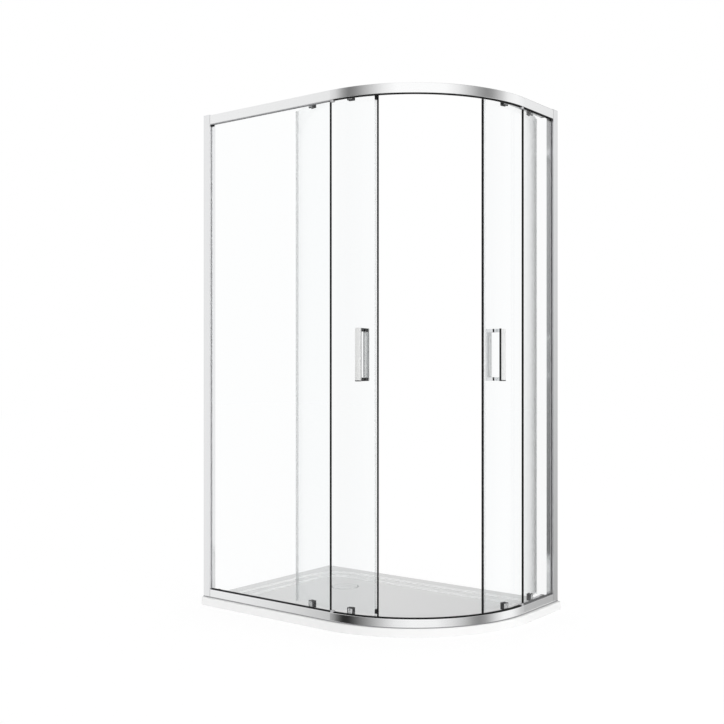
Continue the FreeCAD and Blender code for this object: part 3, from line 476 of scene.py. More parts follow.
FRAME_FINISH = {
    "shower_tray": TRAY_WHITE,
    "waste_flange": STEEL,
    "waste_cover": COVER_WHITE,
    "top_rail": RAIL_METAL,
    "bottom_rail": RAIL_METAL,
    "top_filler": BLACK_RUBBER,
    "bottom_filler": BLACK_RUBBER,
    "post_screws": STEEL,
    "post_caps": CHROME,
    "top_end_blocks": BLACK_PLASTIC,
    "bottom_end_blocks": BLACK_PLASTIC,
}
SIDE_FINISH = {
    "wall_channel": CHANNEL_METAL,
    "post": POST_METAL,
    "fixed_glass": PANE,
    "post_gasket": POST_GASKET,
    "rail_gaskets": RIGHT_GASKET_PAINTED_LIGHT,
    "end_seal": BLACK_RUBBER,
    "door_stop": BLACK_PLASTIC,
    "door_glass": DOOR_PANE,
    "lead_seal": LEAD_SEAL,
    "magnet_strip": BLACK_RUBBER,
    "trail_seal": TRAIL_SEAL,
    "handle_outer": CHROME,
    "handle_inner": CHROME,
    "handle_bolts": STEEL,
    "handle_washers": BLACK_PLASTIC,
    "top_clamps": GRIP_GREY,
    "bottom_guides": GRIP_GREY,
    "clamp_screws": STEEL,
    "guide_feet": NYLON,
    "trolleys": NYLON,
    "hanger_studs": STEEL,
    "axles": STEEL,
    "front_wheels": NYLON,
    "rear_wheels": NYLON,
}
# The left side's post gasket and rail gaskets carry painted light.
LEFT_FINISH = {"post_gasket": PALE_GASKET_PAINTED_LIGHT, "rail_gaskets": LEFT_GASKET_PAINTED_LIGHT}


class Shape:
    """Meshes built point by point and handed to the scene as pieces."""

    CREASE = 35.0
    CORNER_STEPS = 3
    CORNER_TIGHTENING = 0.9
    BEVEL_BELLY = 0.3

    @staticmethod
    def piece(name: str, mesh: bmesh.types.BMesh) -> bpy.types.Object:
        """Turn a built mesh into an object whose edges stay sharp above the crease angle.

        Args:
            name: the piece's name.
            mesh: its built mesh, which is freed.

        Returns:
            The new object.
        """
        bmesh.ops.recalc_face_normals(mesh, faces=mesh.faces)
        data = bpy.data.meshes.new(name)
        mesh.to_mesh(data)
        mesh.free()
        data.shade_smooth()
        data.set_sharp_from_angle(angle=math.radians(Shape.CREASE))
        made = bpy.data.objects.new(name, data)
        bpy.context.scene.collection.objects.link(made)
        return made

    @staticmethod
    def loops(mesh: bmesh.types.BMesh, rings: Sequence[Sequence[Vector]], closed: bool) -> None:
        """Skin a row of equal rings of points.

        Args:
            mesh: the mesh to add to.
            rings: the rings, each a closed loop of points.
            closed: whether the last ring joins the first; if not, both ends are capped.
        """
        rows = [[mesh.verts.new(point) for point in ring] for ring in rings]
        count = len(rows[0])
        pairs = list(zip(rows, rows[1:]))
        if closed:
            pairs.append((rows[-1], rows[0]))
        else:
            mesh.faces.new(rows[0])
            mesh.faces.new(list(reversed(rows[-1])))
        for near, far in pairs:
            for i in range(count):
                after = (i + 1) % count
                mesh.faces.new((near[i], near[after], far[after], far[i]))

    @staticmethod
    def turned(
        mesh: bmesh.types.BMesh, outline: Sequence[tuple[float, float]], steps: int, at: Matrix
    ) -> None:
        """Turn an outline that starts and ends on the axis about the local z.

        Args:
            mesh: the mesh to add to.
            outline: radius and height of each point; the first and last lie on the axis.
            steps: how many steps make a full turn.
            at: where the local frame stands.
        """
        first = mesh.verts.new(at @ Vector((0.0, 0.0, outline[0][1])))
        last = mesh.verts.new(at @ Vector((0.0, 0.0, outline[-1][1])))
        rows = [
            [mesh.verts.new(point) for point in Shape.ring(radius, height, steps, at)]
            for radius, height in outline[1:-1]
        ]
        for i in range(steps):
            after = (i + 1) % steps
            mesh.faces.new((first, rows[0][after], rows[0][i]))
            mesh.faces.new((last, rows[-1][i], rows[-1][after]))
            for near, far in zip(rows, rows[1:]):
                mesh.faces.new((near[i], near[after], far[after], far[i]))

    @staticmethod
    def plate(
        mesh: bmesh.types.BMesh, width: float, height: float, thick: float, edge: float, at: Matrix
    ) -> None:
        """Add a flat plate with bevelled edges, lying on the local z.

        Args:
            mesh: the mesh to add to.
            width: its size along the local x.
            height: its size along the local y.
            thick: how far it stands up.
            edge: the bevel of its rim, and the radius of its corners.
            at: the frame of the middle of its back.
        """
        belly = edge * Shape.BEVEL_BELLY
        levels = ((0.0, 0.0), (0.0, thick - edge), (belly, thick - belly), (edge, thick))
        rings = []
        for inset, level in levels:
            ring = []
            for turn in range(4):
                corner_x = (width / 2.0 - edge) * (1.0 if turn in (0, 3) else -1.0)
                corner_y = (height / 2.0 - edge) * (1.0 if turn in (0, 1) else -1.0)
                swing = Matrix.Rotation(turn * math.pi / 2.0, 2)
                radius = edge - inset * Shape.CORNER_TIGHTENING
                for x, y in Shape.quarter(radius, Shape.CORNER_STEPS):
                    bent = swing @ Vector((x, y))
                    ring.append(at @ Vector((corner_x + bent.x, corner_y + bent.y, level)))
            rings.append(ring)
        Shape.loops(mesh, rings, False)

    @staticmethod
    def ring(radius: float, height: float, steps: int, at: Matrix) -> list[Vector]:
        """A ring of points at a radius and height of a local frame."""
        turns = [2.0 * math.pi * i / steps for i in range(steps)]
        return [at @ Vector((radius * math.cos(t), radius * math.sin(t), height)) for t in turns]

    @staticmethod
    def quarter(radius: float, steps: int = 5) -> list[tuple[float, float]]:
        """Points of a quarter circle from (radius, 0) to (0, radius)."""
        turns = [math.pi / 2.0 * i / steps for i in range(steps + 1)]
        return [(radius * math.cos(turn), radius * math.sin(turn)) for turn in turns]


@dataclass(frozen=True)
class SocketScrew:
    """A small round-headed screw with a six-sided socket, standing on the local z."""

    radius: float
    height: float
    socket: float
    socket_depth: float
    edge: float = 0.0004
    steps: int = 30
    crown_steps: int = 5

    def build(self, mesh: bmesh.types.BMesh, at: Matrix) -> None:
        """Add one head.

        Args:
            mesh: the mesh to add to.
            at: the frame of the seat, z pointing out of it.
        """
        crown = [(self.radius, 0.0), (self.radius, self.edge)]
        for across, up in Shape.quarter(1.0, self.crown_steps)[1:-1]:
            radius = self.socket + (self.radius - self.socket) * across
            crown.append((radius, self.edge + (self.height - self.edge) * up))
        rings = [Shape.ring(radius, height, self.steps, at) for radius, height in crown]
        rings.append(self._hexagon(self.socket, self.height, at))
        rings.append(self._hexagon(self.socket, self.height - self.socket_depth, at))
        Shape.loops(mesh, rings, False)

    def _hexagon(self, radius: float, height: float, at: Matrix) -> list[Vector]:
        """As many points as a round ring has, along a hexagon.

        Args:
            radius: how far its corners lie from the axis.
            height: its height over the seat.
            at: the frame of the seat.

        Returns:
            The points in order.
        """
        points = []
        for i in range(self.steps):
            turn = 2.0 * math.pi * i / self.steps
            side = (turn % (math.pi / 3.0)) - math.pi / 6.0
            reach = radius * math.cos(math.pi / 6.0) / math.cos(side)
            points.append(at @ Vector((reach * math.cos(turn), reach * math.sin(turn), height)))
        return points


def outward_frame(seat: Point, heading: float) -> Matrix:
    """A frame at a seat whose z points level along a heading.

    Args:
        seat: the point on the surface.
        heading: degrees from the front towards the right.

    Returns:
        The frame as a matrix.
    """
    turn = math.radians(heading)
    out = Vector((math.sin(turn), -math.cos(turn), 0.0))
    return Matrix.Translation(seat) @ out.to_track_quat("Z", "Y").to_matrix().to_4x4()


class Wardrobe:
    """The materials, each made once, and the dressing of nodes with them."""

    def __init__(self) -> None:
        """Start with no material made."""
        self.made: dict[str, bpy.types.Material] = {}

    def material(self, finish: Union[Finish, ClearGlass]) -> bpy.types.Material:
        """The material of a finish.

        Args:
            finish: the finish asked for.

        Returns:
            Its one material.
        """
        if finish.name not in self.made:
            self.made[finish.name] = finish.material()
        return self.made[finish.name]

    def dress(self, piece: bpy.types.Object, finish: Union[Finish, ClearGlass]) -> None:
        """Give a piece its finish.

        Args:
            piece: the object to dress.
            finish: its finish.
        """
        piece.data.materials.clear()
        piece.data.materials.append(self.material(finish))
        log.info("%s in %s", piece.name, finish.name)

    def add(
        self, name: str, mesh: bmesh.types.BMesh, finish: Finish, body: str, slot: str
    ) -> bpy.types.Object:
        """Hand a built mesh to a body as a dressed piece.

        Args:
            name: the piece's name.
            mesh: its built mesh, which is freed.
            finish: its finish.
            body: the body that it rides on.
            slot: the record's slot; not used.

        Returns:
            The new piece.
        """
        made = Shape.piece(name, mesh)
        self.dress(made, finish)
        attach(made, body)
        return made


@dataclass
class Enclosure:
    """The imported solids, dressed by their names."""

    wardrobe: Wardrobe

    def dress(self) -> None:
        """Dress every node of the frame and of both sides."""
        for name, finish in FRAME_FINISH.items():
            self.wardrobe.dress(frame["nodes"][name], finish)
        for side in SIDES:
            finishes = SIDE_FINISH | LEFT_FINISH if side == "left" else SIDE_FINISH
            for name, finish in finishes.items():
                self.wardrobe.dress(frame["nodes"][f"{side}_{name}"], finish)


@dataclass
class WasteCover:
    """The lift-off cover of the waste: a smooth low dome with a fine ring near its rim."""

    wardrobe: Wardrobe
    lip: float = 0.003
    spigot: float = 0.0027
    spigot_radius: float = 0.039
    wall: float = 0.003
    ring_from_rim: float = 0.008
    ring_depth: float = 0.0006
    ring_width: float = 0.0012
    edge: float = 0.0012
    dome_steps: int = 24
    steps: int = 96

    def build(self) -> None:
        """Add the cover in place of its plain solid."""
        low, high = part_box("waste_cover")
        middle = Vector(((low[0] + high[0]) / 2.0, (low[1] + high[1]) / 2.0, low[2]))
        rim = (high[0] - low[0]) / 2.0
        seat = self.spigot
        top = high[2] - low[2]
        ceiling = seat + self.lip / 2.0
        bore = self.spigot_radius - self.wall
        outline = [(0.0, ceiling), (bore, ceiling), (bore, 0.0)]
        outline += [(self.spigot_radius, 0.0), (self.spigot_radius, seat)]
        outline += [(rim - self.edge / 2.0, seat), (rim, seat + self.edge / 2.0)]
        shoulder = seat + self.lip - self.edge
        outline += [(rim - self.edge + x, shoulder + z) for x, z in Shape.quarter(self.edge)]
        ring = rim - self.ring_from_rim
        inner = rim - self.edge
        for i in range(1, self.dome_steps):
            radius = inner * (1.0 - i / self.dome_steps)
            dip = self.ring_depth if abs(radius - ring) < 2.0 * self.ring_width else 0.0
            rise = (top - seat - self.lip) * (1.0 - (radius / inner) ** 2)
            outline.append((radius, seat + self.lip + rise - dip))
        outline.append((0.0, top))
        mesh = bmesh.new()
        Shape.turned(mesh, outline, self.steps, Matrix.Translation(middle))
        cover = self.wardrobe.add("waste_dome", mesh, COVER_WHITE, "waste_cover", "tray_acrylic")
        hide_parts("waste_cover")


@dataclass
class PostScrews:
    """Locking screws on the inner leg of each post."""

    wardrobe: Wardrobe
    from_end: float = 0.300
    foot: float = 0.002
    from_wall: float = 0.004
    shank: float = 0.002
    shank_depth: float = 0.004
    shank_steps: int = 16
    head: SocketScrew = SocketScrew(0.004, 0.0022, 0.0016, 0.0013)

    def build(self) -> None:
        """Add the six screws in place of their plain solids."""
        mesh = bmesh.new()
        end = -self.shank_depth
        outline = [(0.0, end), (self.shank, end), (self.shank, 0.0), (0.0, 0.0)]
        for side in SIDES:
            low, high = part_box(f"{side}_post")
            top = high[2] + self.foot
            for height in (low[2] + self.from_end, (low[2] + top) / 2.0, top - self.from_end):
                if side == "left":
                    seat, heading = (low[0] + self.from_wall, high[1], height), 180.0
                else:
                    seat, heading = (low[0], high[1] - self.from_wall, height), -90.0
                at = outward_frame(seat, heading)
                self.head.build(mesh, at)
                Shape.turned(mesh, outline, self.shank_steps, at)
        screws = self.wardrobe.add("post_screw_heads", mesh, STEEL, "frame", "steel")
        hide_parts("post_screws")


@dataclass(frozen=True)
class Station:
    """Where a clamp and a guide hold a door: a place on the track and the way that it faces."""

    x: float
    y: float
    heading: float

    @classmethod
    def of_roller(cls, side: str, roller: str) -> "Station":
        """The station of a roller, found from its axle.

        Args:
            side: the door's side.
            roller: front or rear.

        Returns:
            The station at rest.
        """
        name = f"{side}_{roller}_wheels_roll"
        joints = frame["record"]["behaviour"]["joints"]
        axle = next(joint for joint in joints if joint["name"] == name)
        across, along, _ = axle["axis"]
        swivel = SWIVELS[roller] * (1.0 if side == "left" else -1.0)
        heading = math.degrees(math.atan2(across, -along)) - swivel
        return cls(axle["pos_m"][0], axle["pos_m"][1], heading)

    def face(self, reach: float, level: float, outwards: bool) -> Matrix:
        """A frame on the outer or inner face, z pointing out of it.

        Args:
            reach: how far the face lies from the middle of the glass.
            level: its height.
            outwards: whether it is the outer face.

        Returns:
            The frame as a matrix.
        """
        facing = self.heading if outwards else self.heading + 180.0
        turn = math.radians(facing)
        seat = (self.x + reach * math.sin(turn), self.y - reach * math.cos(turn), level)
        return outward_frame(seat, facing)


@dataclass
class GripScrews:
    """Button heads on the clamps and guides of a door."""

    wardrobe: Wardrobe
    side: str
    half_depth: float = 0.0085
    shank: float = 0.002
    head: SocketScrew = SocketScrew(0.0036, 0.0018, 0.0015, 0.0011)

    def build(self) -> None:
        """Add a head on both faces of each clamp and guide."""
        low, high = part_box(f"{self.side}_clamp_screws")
        levels = (low[2] + self.shank, high[2] - self.shank)
        mesh = bmesh.new()
        for roller in SWIVELS:
            station = Station.of_roller(self.side, roller)
            for level in levels:
                for outwards in (True, False):
                    self.head.build(mesh, station.face(self.half_depth, level, outwards))
        name = f"{self.side}_grip_screw_heads"
        self.wardrobe.add(name, mesh, STEEL, f"{self.side}_door", "steel")


@dataclass
class GripPlates:
    """Satin plates let into the dark clamps and guides of a door, on both faces."""

    wardrobe: Wardrobe
    side: str
    half_depth: float = 0.0085
    width: float = 0.018
    border: float = 0.003
    thick: float = 0.0009
    sunk: float = 0.0003
    edge: float = 0.0005

    def build(self) -> None:
        """Add a plate on both faces of each clamp and guide."""
        mesh = bmesh.new()
        for node in ("top_clamps", "bottom_guides"):
            low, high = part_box(f"{self.side}_{node}")
            height = high[2] - low[2] - 2.0 * self.border
            level = (low[2] + high[2]) / 2.0
            for roller in SWIVELS:
                station = Station.of_roller(self.side, roller)
                for outwards in (True, False):
                    at = station.face(self.half_depth - self.sunk, level, outwards)
                    Shape.plate(mesh, self.width, height, self.thick, self.edge, at)
        name = f"{self.side}_grip_plates"
        self.wardrobe.add(name, mesh, GRIP_PLATE, f"{self.side}_door", "chrome")


@dataclass
class PullFaces:
    """The satin front of each pull of a door, with a back outside painted as reflection, a black foot
    painted as shade, and a rib inside.
    """

    wardrobe: Wardrobe
    side: str
    pull: str
    bar: float = 0.012
    front: float = 0.006
    # The right outer pull's thinner front shows more of its black back, which is painted reflection.
    thin_front: float = 0.0013
    rim: float = 0.0003
    foot: float = 0.0035
    rib: float = 0.008
    rib_thick: float = 0.0008
    arm: float = 0.013
    edge: float = 0.0007

    def build(self) -> None:
        """Add the front of one pull and what goes with it."""
        at, width, height = self._seat()
        wide, tall = width + 2.0 * self.rim, height + 2.0 * self.rim
        outer = self.pull == "outer"
        foot = self.foot if outer else 0.0
        deep = self.thin_front if outer and self.side == "right" else self.front
        front = bmesh.new()
        front_at = at @ Matrix.Translation((0.0, foot / 2.0, -deep))
        Shape.plate(front, wide, tall - foot, deep + self.rim, self.edge, front_at)
        self._add(front, "grip_front", SATIN_PLATE, "chrome")
        if outer:
            self._add_back(at, wide, tall, deep)
        else:
            self._add_rib(at, tall)

    def _add_back(self, at: Matrix, wide: float, tall: float, deep: float) -> None:
        """Add the back of the bar, painted reflection in grey on the left door and black on the right,
        and the black foot of its front, painted shade.

        Args:
            at: the frame on the middle of the grip's face.
            wide: the width over both pieces.
            tall: the height over both pieces.
            deep: how deep the front is.
        """
        back = bmesh.new()
        back_at = at @ Matrix.Translation((0.0, 0.0, -self.bar - self.rim))
        Shape.plate(back, wide, tall, self.bar - deep + self.rim, self.edge, back_at)
        # Painted reflection: the back is mid grey on the left door and black on the right.
        if self.side == "left":
            self._add(back, "grip_back", SATIN_GREY_PAINTED_REFLECTION, "chrome")
        else:
            self._add(back, "grip_back", BLACK_PLASTIC, "black_plastic")
        # Painted shade: a black foot at the bottom of the outer pull's front.
        foot = bmesh.new()
        foot_at = at @ Matrix.Translation((0.0, (self.foot - tall) / 2.0, -deep))
        Shape.plate(foot, wide, self.foot, deep + self.rim, self.edge, foot_at)
        self._add(foot, "grip_foot", BLACK_PLASTIC, "black_plastic")

    def _add_rib(self, at: Matrix, tall: float) -> None:
        """Add the satin rib on the side of the bar that faces the glass.

        Args:
            at: the frame on the middle of the grip's face.
            tall: the height of the front.
        """
        rib = bmesh.new()
        rib_at = at @ Matrix.Translation((0.0, 0.0, -self.bar)) @ Matrix.Rotation(math.pi, 4, "Y")
        Shape.plate(rib, self.rib, tall - 2.0 * self.arm, self.rib_thick, self.edge, rib_at)
        self._add(rib, "grip_rib", SATIN_PLATE, "chrome")

    def _seat(self) -> tuple[Matrix, float, float]:
        """The frame on the middle of the grip's face, and the grip's width and height.

        Returns:
            The frame with z out of the face and y up, the width and the height.
        """
        pull = frame["nodes"][f"{self.side}_handle_{self.pull}"]
        washers = frame["nodes"][f"{self.side}_handle_washers"]
        corners = [Vector(v.co) for v in pull.data.vertices]
        middle = sum(corners, Vector()) / len(corners)
        seat = sum((Vector(v.co) for v in washers.data.vertices), Vector()) / len(washers.data.vertices)
        out = Vector((middle.x - seat.x, middle.y - seat.y, 0.0)).normalized()
        across = Vector((-out.y, out.x, 0.0))
        reach = max((corner - seat).dot(out) for corner in corners)
        sideways = [(corner - seat).dot(across) for corner in corners]
        levels = [corner.z for corner in corners]
        shift = (max(sideways) + min(sideways)) / 2.0
        place = seat + out * reach + across * shift
        place.z = (max(levels) + min(levels)) / 2.0
        heading = math.degrees(math.atan2(out.x, -out.y))
        return outward_frame(place, heading), max(sideways) - min(sideways), max(levels) - min(levels)

    def _add(self, mesh: bmesh.types.BMesh, name: str, finish: Finish, slot: str) -> None:
        """Hand a built mesh to the door.

        Args:
            mesh: the built mesh.
            name: the last words of the piece's name.
            finish: its finish.
            slot: the record's slot, passed on to the wardrobe.
        """
        whole_name = f"{self.side}_{self.pull}_{name}"
        self.wardrobe.add(whole_name, mesh, finish, f"{self.side}_door", slot)


@dataclass
class DoorSeals:
    """The clear seals and the magnet strip of a door, led down to the level of its guides."""

    wardrobe: Wardrobe
    side: str
    weld: float = 0.000001
    foot: float = 0.0065
    ease: float = 0.00012
    swell: float = 0.0003

    def build(self) -> None:
        """Add the two seals and the magnet strip in place of their plain solids."""
        self._add("lead_seal", -self.ease, "clear_seal")
        self._add("trail_seal", -self.ease, "clear_seal")
        self._add("magnet_strip", self.swell, "black_strip")

    def _add(self, name: str, offset: float, slot: str) -> None:
        """Add one strip.

        Args:
            name: the node's name without its side.
            offset: how far its faces stand out from the solid's.
            slot: the record's slot, passed on to the wardrobe.
        """
        node = f"{self.side}_{name}"
        mesh = bmesh.new()
        mesh.from_mesh(frame["nodes"][node].data)
        bmesh.ops.remove_doubles(mesh, verts=mesh.verts, dist=self.weld)
        self._lead_down(mesh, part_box(node)[0][2] + self.foot)
        bmesh.ops.recalc_face_normals(mesh, faces=mesh.faces)
        mesh.normal_update()
        shifts = [v.normal * v.calc_shell_factor() * offset for v in mesh.verts]
        for vertex, shift in zip(mesh.verts, shifts):
            vertex.co += shift
        strip = self.wardrobe.add(
            f"{node}_strip", mesh, SIDE_FINISH[name], f"{self.side}_door", slot
        )
        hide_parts(node)

    def _lead_down(self, mesh: bmesh.types.BMesh, cut: float) -> None:
        """Cut a strip off above its foot and draw the end down to the guides' level.

        Args:
            mesh: the strip's mesh.
            cut: the height of the cut.
        """
        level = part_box(f"{self.side}_bottom_guides")[0][2]
        whole = [*mesh.verts, *mesh.edges, *mesh.faces]
        bmesh.ops.bisect_plane(
            mesh, geom=whole, plane_co=(0.0, 0.0, cut), plane_no=(0.0, 0.0, 1.0), clear_inner=True
        )
        rim = [edge for edge in mesh.edges if edge.is_boundary]
        bmesh.ops.holes_fill(mesh, edges=rim)
        for edge in rim:
            for vertex in edge.verts:
                vertex.co.z = level


@dataclass
class SealCaps:
    """Dark end caps on the leading seal of a door, top and bottom."""

    wardrobe: Wardrobe
    side: str
    width: float = 0.0095
    depth: float = 0.0135
    height: float = 0.016
    edge: float = 0.0008

    def build(self) -> None:
        """Add the two caps."""
        seal = frame["nodes"][f"{self.side}_lead_seal"].data.vertices
        high = max(v.co.z for v in seal)
        low = min(v.co.z for v in seal)
        middle = sum((Vector(v.co) for v in seal), Vector()) / len(seal)
        magnet = frame["nodes"][f"{self.side}_magnet_strip"].data.vertices
        tip = sum((Vector(v.co) for v in magnet), Vector()) / len(magnet)
        along = Vector((tip.x - middle.x, tip.y - middle.y, 0.0)).normalized()
        turn = math.atan2(along.y, along.x)
        mesh = bmesh.new()
        for level in (low, high - self.height):
            at = Matrix.Translation((middle.x, middle.y, level)) @ Matrix.Rotation(turn, 4, "Z")
            Shape.plate(mesh, self.width, self.depth, self.height, self.edge, at)
        name = f"{self.side}_seal_caps"
        self.wardrobe.add(name, mesh, BLACK_PLASTIC, f"{self.side}_door", "black_plastic")


@dataclass
class CornerBlocks:
    """Small dark blocks where each fixed pane meets its post and the top rail."""

    wardrobe: Wardrobe
    side: str
    length: float = 0.015
    height: float = 0.006
    cheek: float = 0.0025
    edge: float = 0.0006

    def build(self) -> None:
        """Add a cheek on both faces of the pane."""
        post_low, post_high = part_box(f"{self.side}_post")
        pane_low, pane_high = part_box(f"{self.side}_fixed_glass")
        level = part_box(f"{self.side}_end_seal")[1][2] - self.height / 2.0
        if self.side == "left":
            along = post_high[0] + self.length / 2.0
            seats = (((along, pane_low[1], level), 0.0), ((along, pane_high[1], level), 180.0))
        else:
            along = post_low[1] - self.length / 2.0
            seats = (((pane_high[0], along, level), 90.0), ((pane_low[0], along, level), -90.0))
        mesh = bmesh.new()
        for seat, heading in seats:
            at = outward_frame(seat, heading)
            Shape.plate(mesh, self.length, self.height, self.cheek, self.edge, at)
        name = f"{self.side}_corner_blocks"
        self.wardrobe.add(name, mesh, BLACK_PLASTIC, "frame", "black_plastic")


@dataclass
class EndShoes:
    """Small grey shoes beside the foot and the head of an end seal, over the rails' dark strips."""

    wardrobe: Wardrobe
    side: str
    length: float = 0.014
    height: float = 0.008
    cheek: float = 0.0025
    edge: float = 0.0008

    def build(self) -> None:
        """Add the two shoes of one side."""
        seal_low, seal_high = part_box(f"{self.side}_end_seal")
        pane_low, pane_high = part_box(f"{self.side}_fixed_glass")
        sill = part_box("bottom_rail")[1][2]
        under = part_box("top_rail")[0][2]
        if self.side == "left":
            x, y = seal_high[0] + self.length / 2.0, (pane_low[1] + pane_high[1]) / 2.0
            width, depth = self.length, pane_high[1] - pane_low[1] + 2.0 * self.cheek
        else:
            x, y = (pane_low[0] + pane_high[0]) / 2.0, seal_low[1] - self.length / 2.0
            width, depth = pane_high[0] - pane_low[0] + 2.0 * self.cheek, self.length
        mesh = bmesh.new()
        for level in (sill, under - self.height):
            Shape.plate(mesh, width, depth, self.height, self.edge, Matrix.Translation((x, y, level)))
        self.wardrobe.add(f"{self.side}_end_shoes", mesh, SHOE_GREY, "frame", "grey_gasket")


@dataclass
class RailJoints:
    """Thin grey strips between each post and the ends of the rails: painted shade for the shadow line
    at each joint.
    """

    wardrobe: Wardrobe
    thick: float = 0.0010
    proud: float = 0.0004
    depth: float = 0.014
    edge: float = 0.0002

    def build(self) -> None:
        """Add a grey strip of painted shade at both ends of both rails."""
        mesh = bmesh.new()
        for node in ("top_rail", "bottom_rail"):
            low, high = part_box(node)
            middle = (low[2] + high[2]) / 2.0
            height = high[2] - low[2]
            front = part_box("left_post")[0][1]
            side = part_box("right_post")[1][0]
            ends = (
                ((low[0], front + self.depth, middle), 0.0),
                ((side - self.depth, high[1], middle), 90.0),
            )
            for seat, heading in ends:
                at = outward_frame(seat, heading)
                Shape.plate(mesh, self.thick, height, self.depth + self.proud, self.edge, at)
        self.wardrobe.add("rail_joints", mesh, SEALANT_AND_PAINTED_SHADE, "frame", "grey_gasket")


@dataclass
class SillBead:
    """A bead where the bottom rail stands on the tray, a real seal whose dark grey is painted shade for
    the shadow line of that joint.
    """

    wardrobe: Wardrobe
    radius: float = 0.517
    width: float = 0.0022
    section_steps: int = 4
    bend_steps: int = 72

    def build(self) -> None:
        """Add the bead along the front, round the bend and along the side."""
        low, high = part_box("bottom_rail")
        wall_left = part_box("left_post")[0][0]
        wall_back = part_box("right_post")[1][1]
        front, side, level = low[1], high[0], low[2]
        centre = Vector((side - self.radius, front + self.radius, level))
        stations = [(Vector((wall_left, front, level)), Vector((0.0, -1.0, 0.0)))]
        for i in range(self.bend_steps + 1):
            turn = math.pi / 2.0 * i / self.bend_steps
            out = Vector((math.sin(turn), -math.cos(turn), 0.0))
            stations.append((centre + self.radius * out, out))
        stations.append((Vector((side, wall_back, level)), Vector((1.0, 0.0, 0.0))))
        section = [(0.0, 0.0), *Shape.quarter(self.width, self.section_steps)]
        rings = [
            [place + out * x + Vector((0.0, 0.0, z)) for x, z in section] for place, out in stations
        ]
        mesh = bmesh.new()
        Shape.loops(mesh, rings, False)
        self.wardrobe.add("sill_bead", mesh, SEALANT_AND_PAINTED_SHADE, "frame", "grey_gasket")


@dataclass(frozen=True)
class PhotoCamera:
    """The camera that looks as the photograph does."""

    place: Point = (2.4751, -3.2213, 0.9759)
    yaw: float = 36.82
    lens: float = 50.545
    sensor: float = 36.0
    shift_x: float = -0.0414
    shift_y: float = 0.00094

    def build(self) -> None:
        """Add the camera and make it the scene's own."""
        data = bpy.data.cameras.new("photo_camera")
        data.lens = self.lens
        data.sensor_width = self.sensor
        data.shift_x = self.shift_x
        data.shift_y = self.shift_y
        camera = bpy.data.objects.new("photo_camera", data)
        camera.location = self.place
        camera.rotation_euler = (math.radians(90.0), 0.0, math.radians(self.yaw))
        bpy.context.scene.collection.objects.link(camera)
        bpy.context.scene.camera = camera


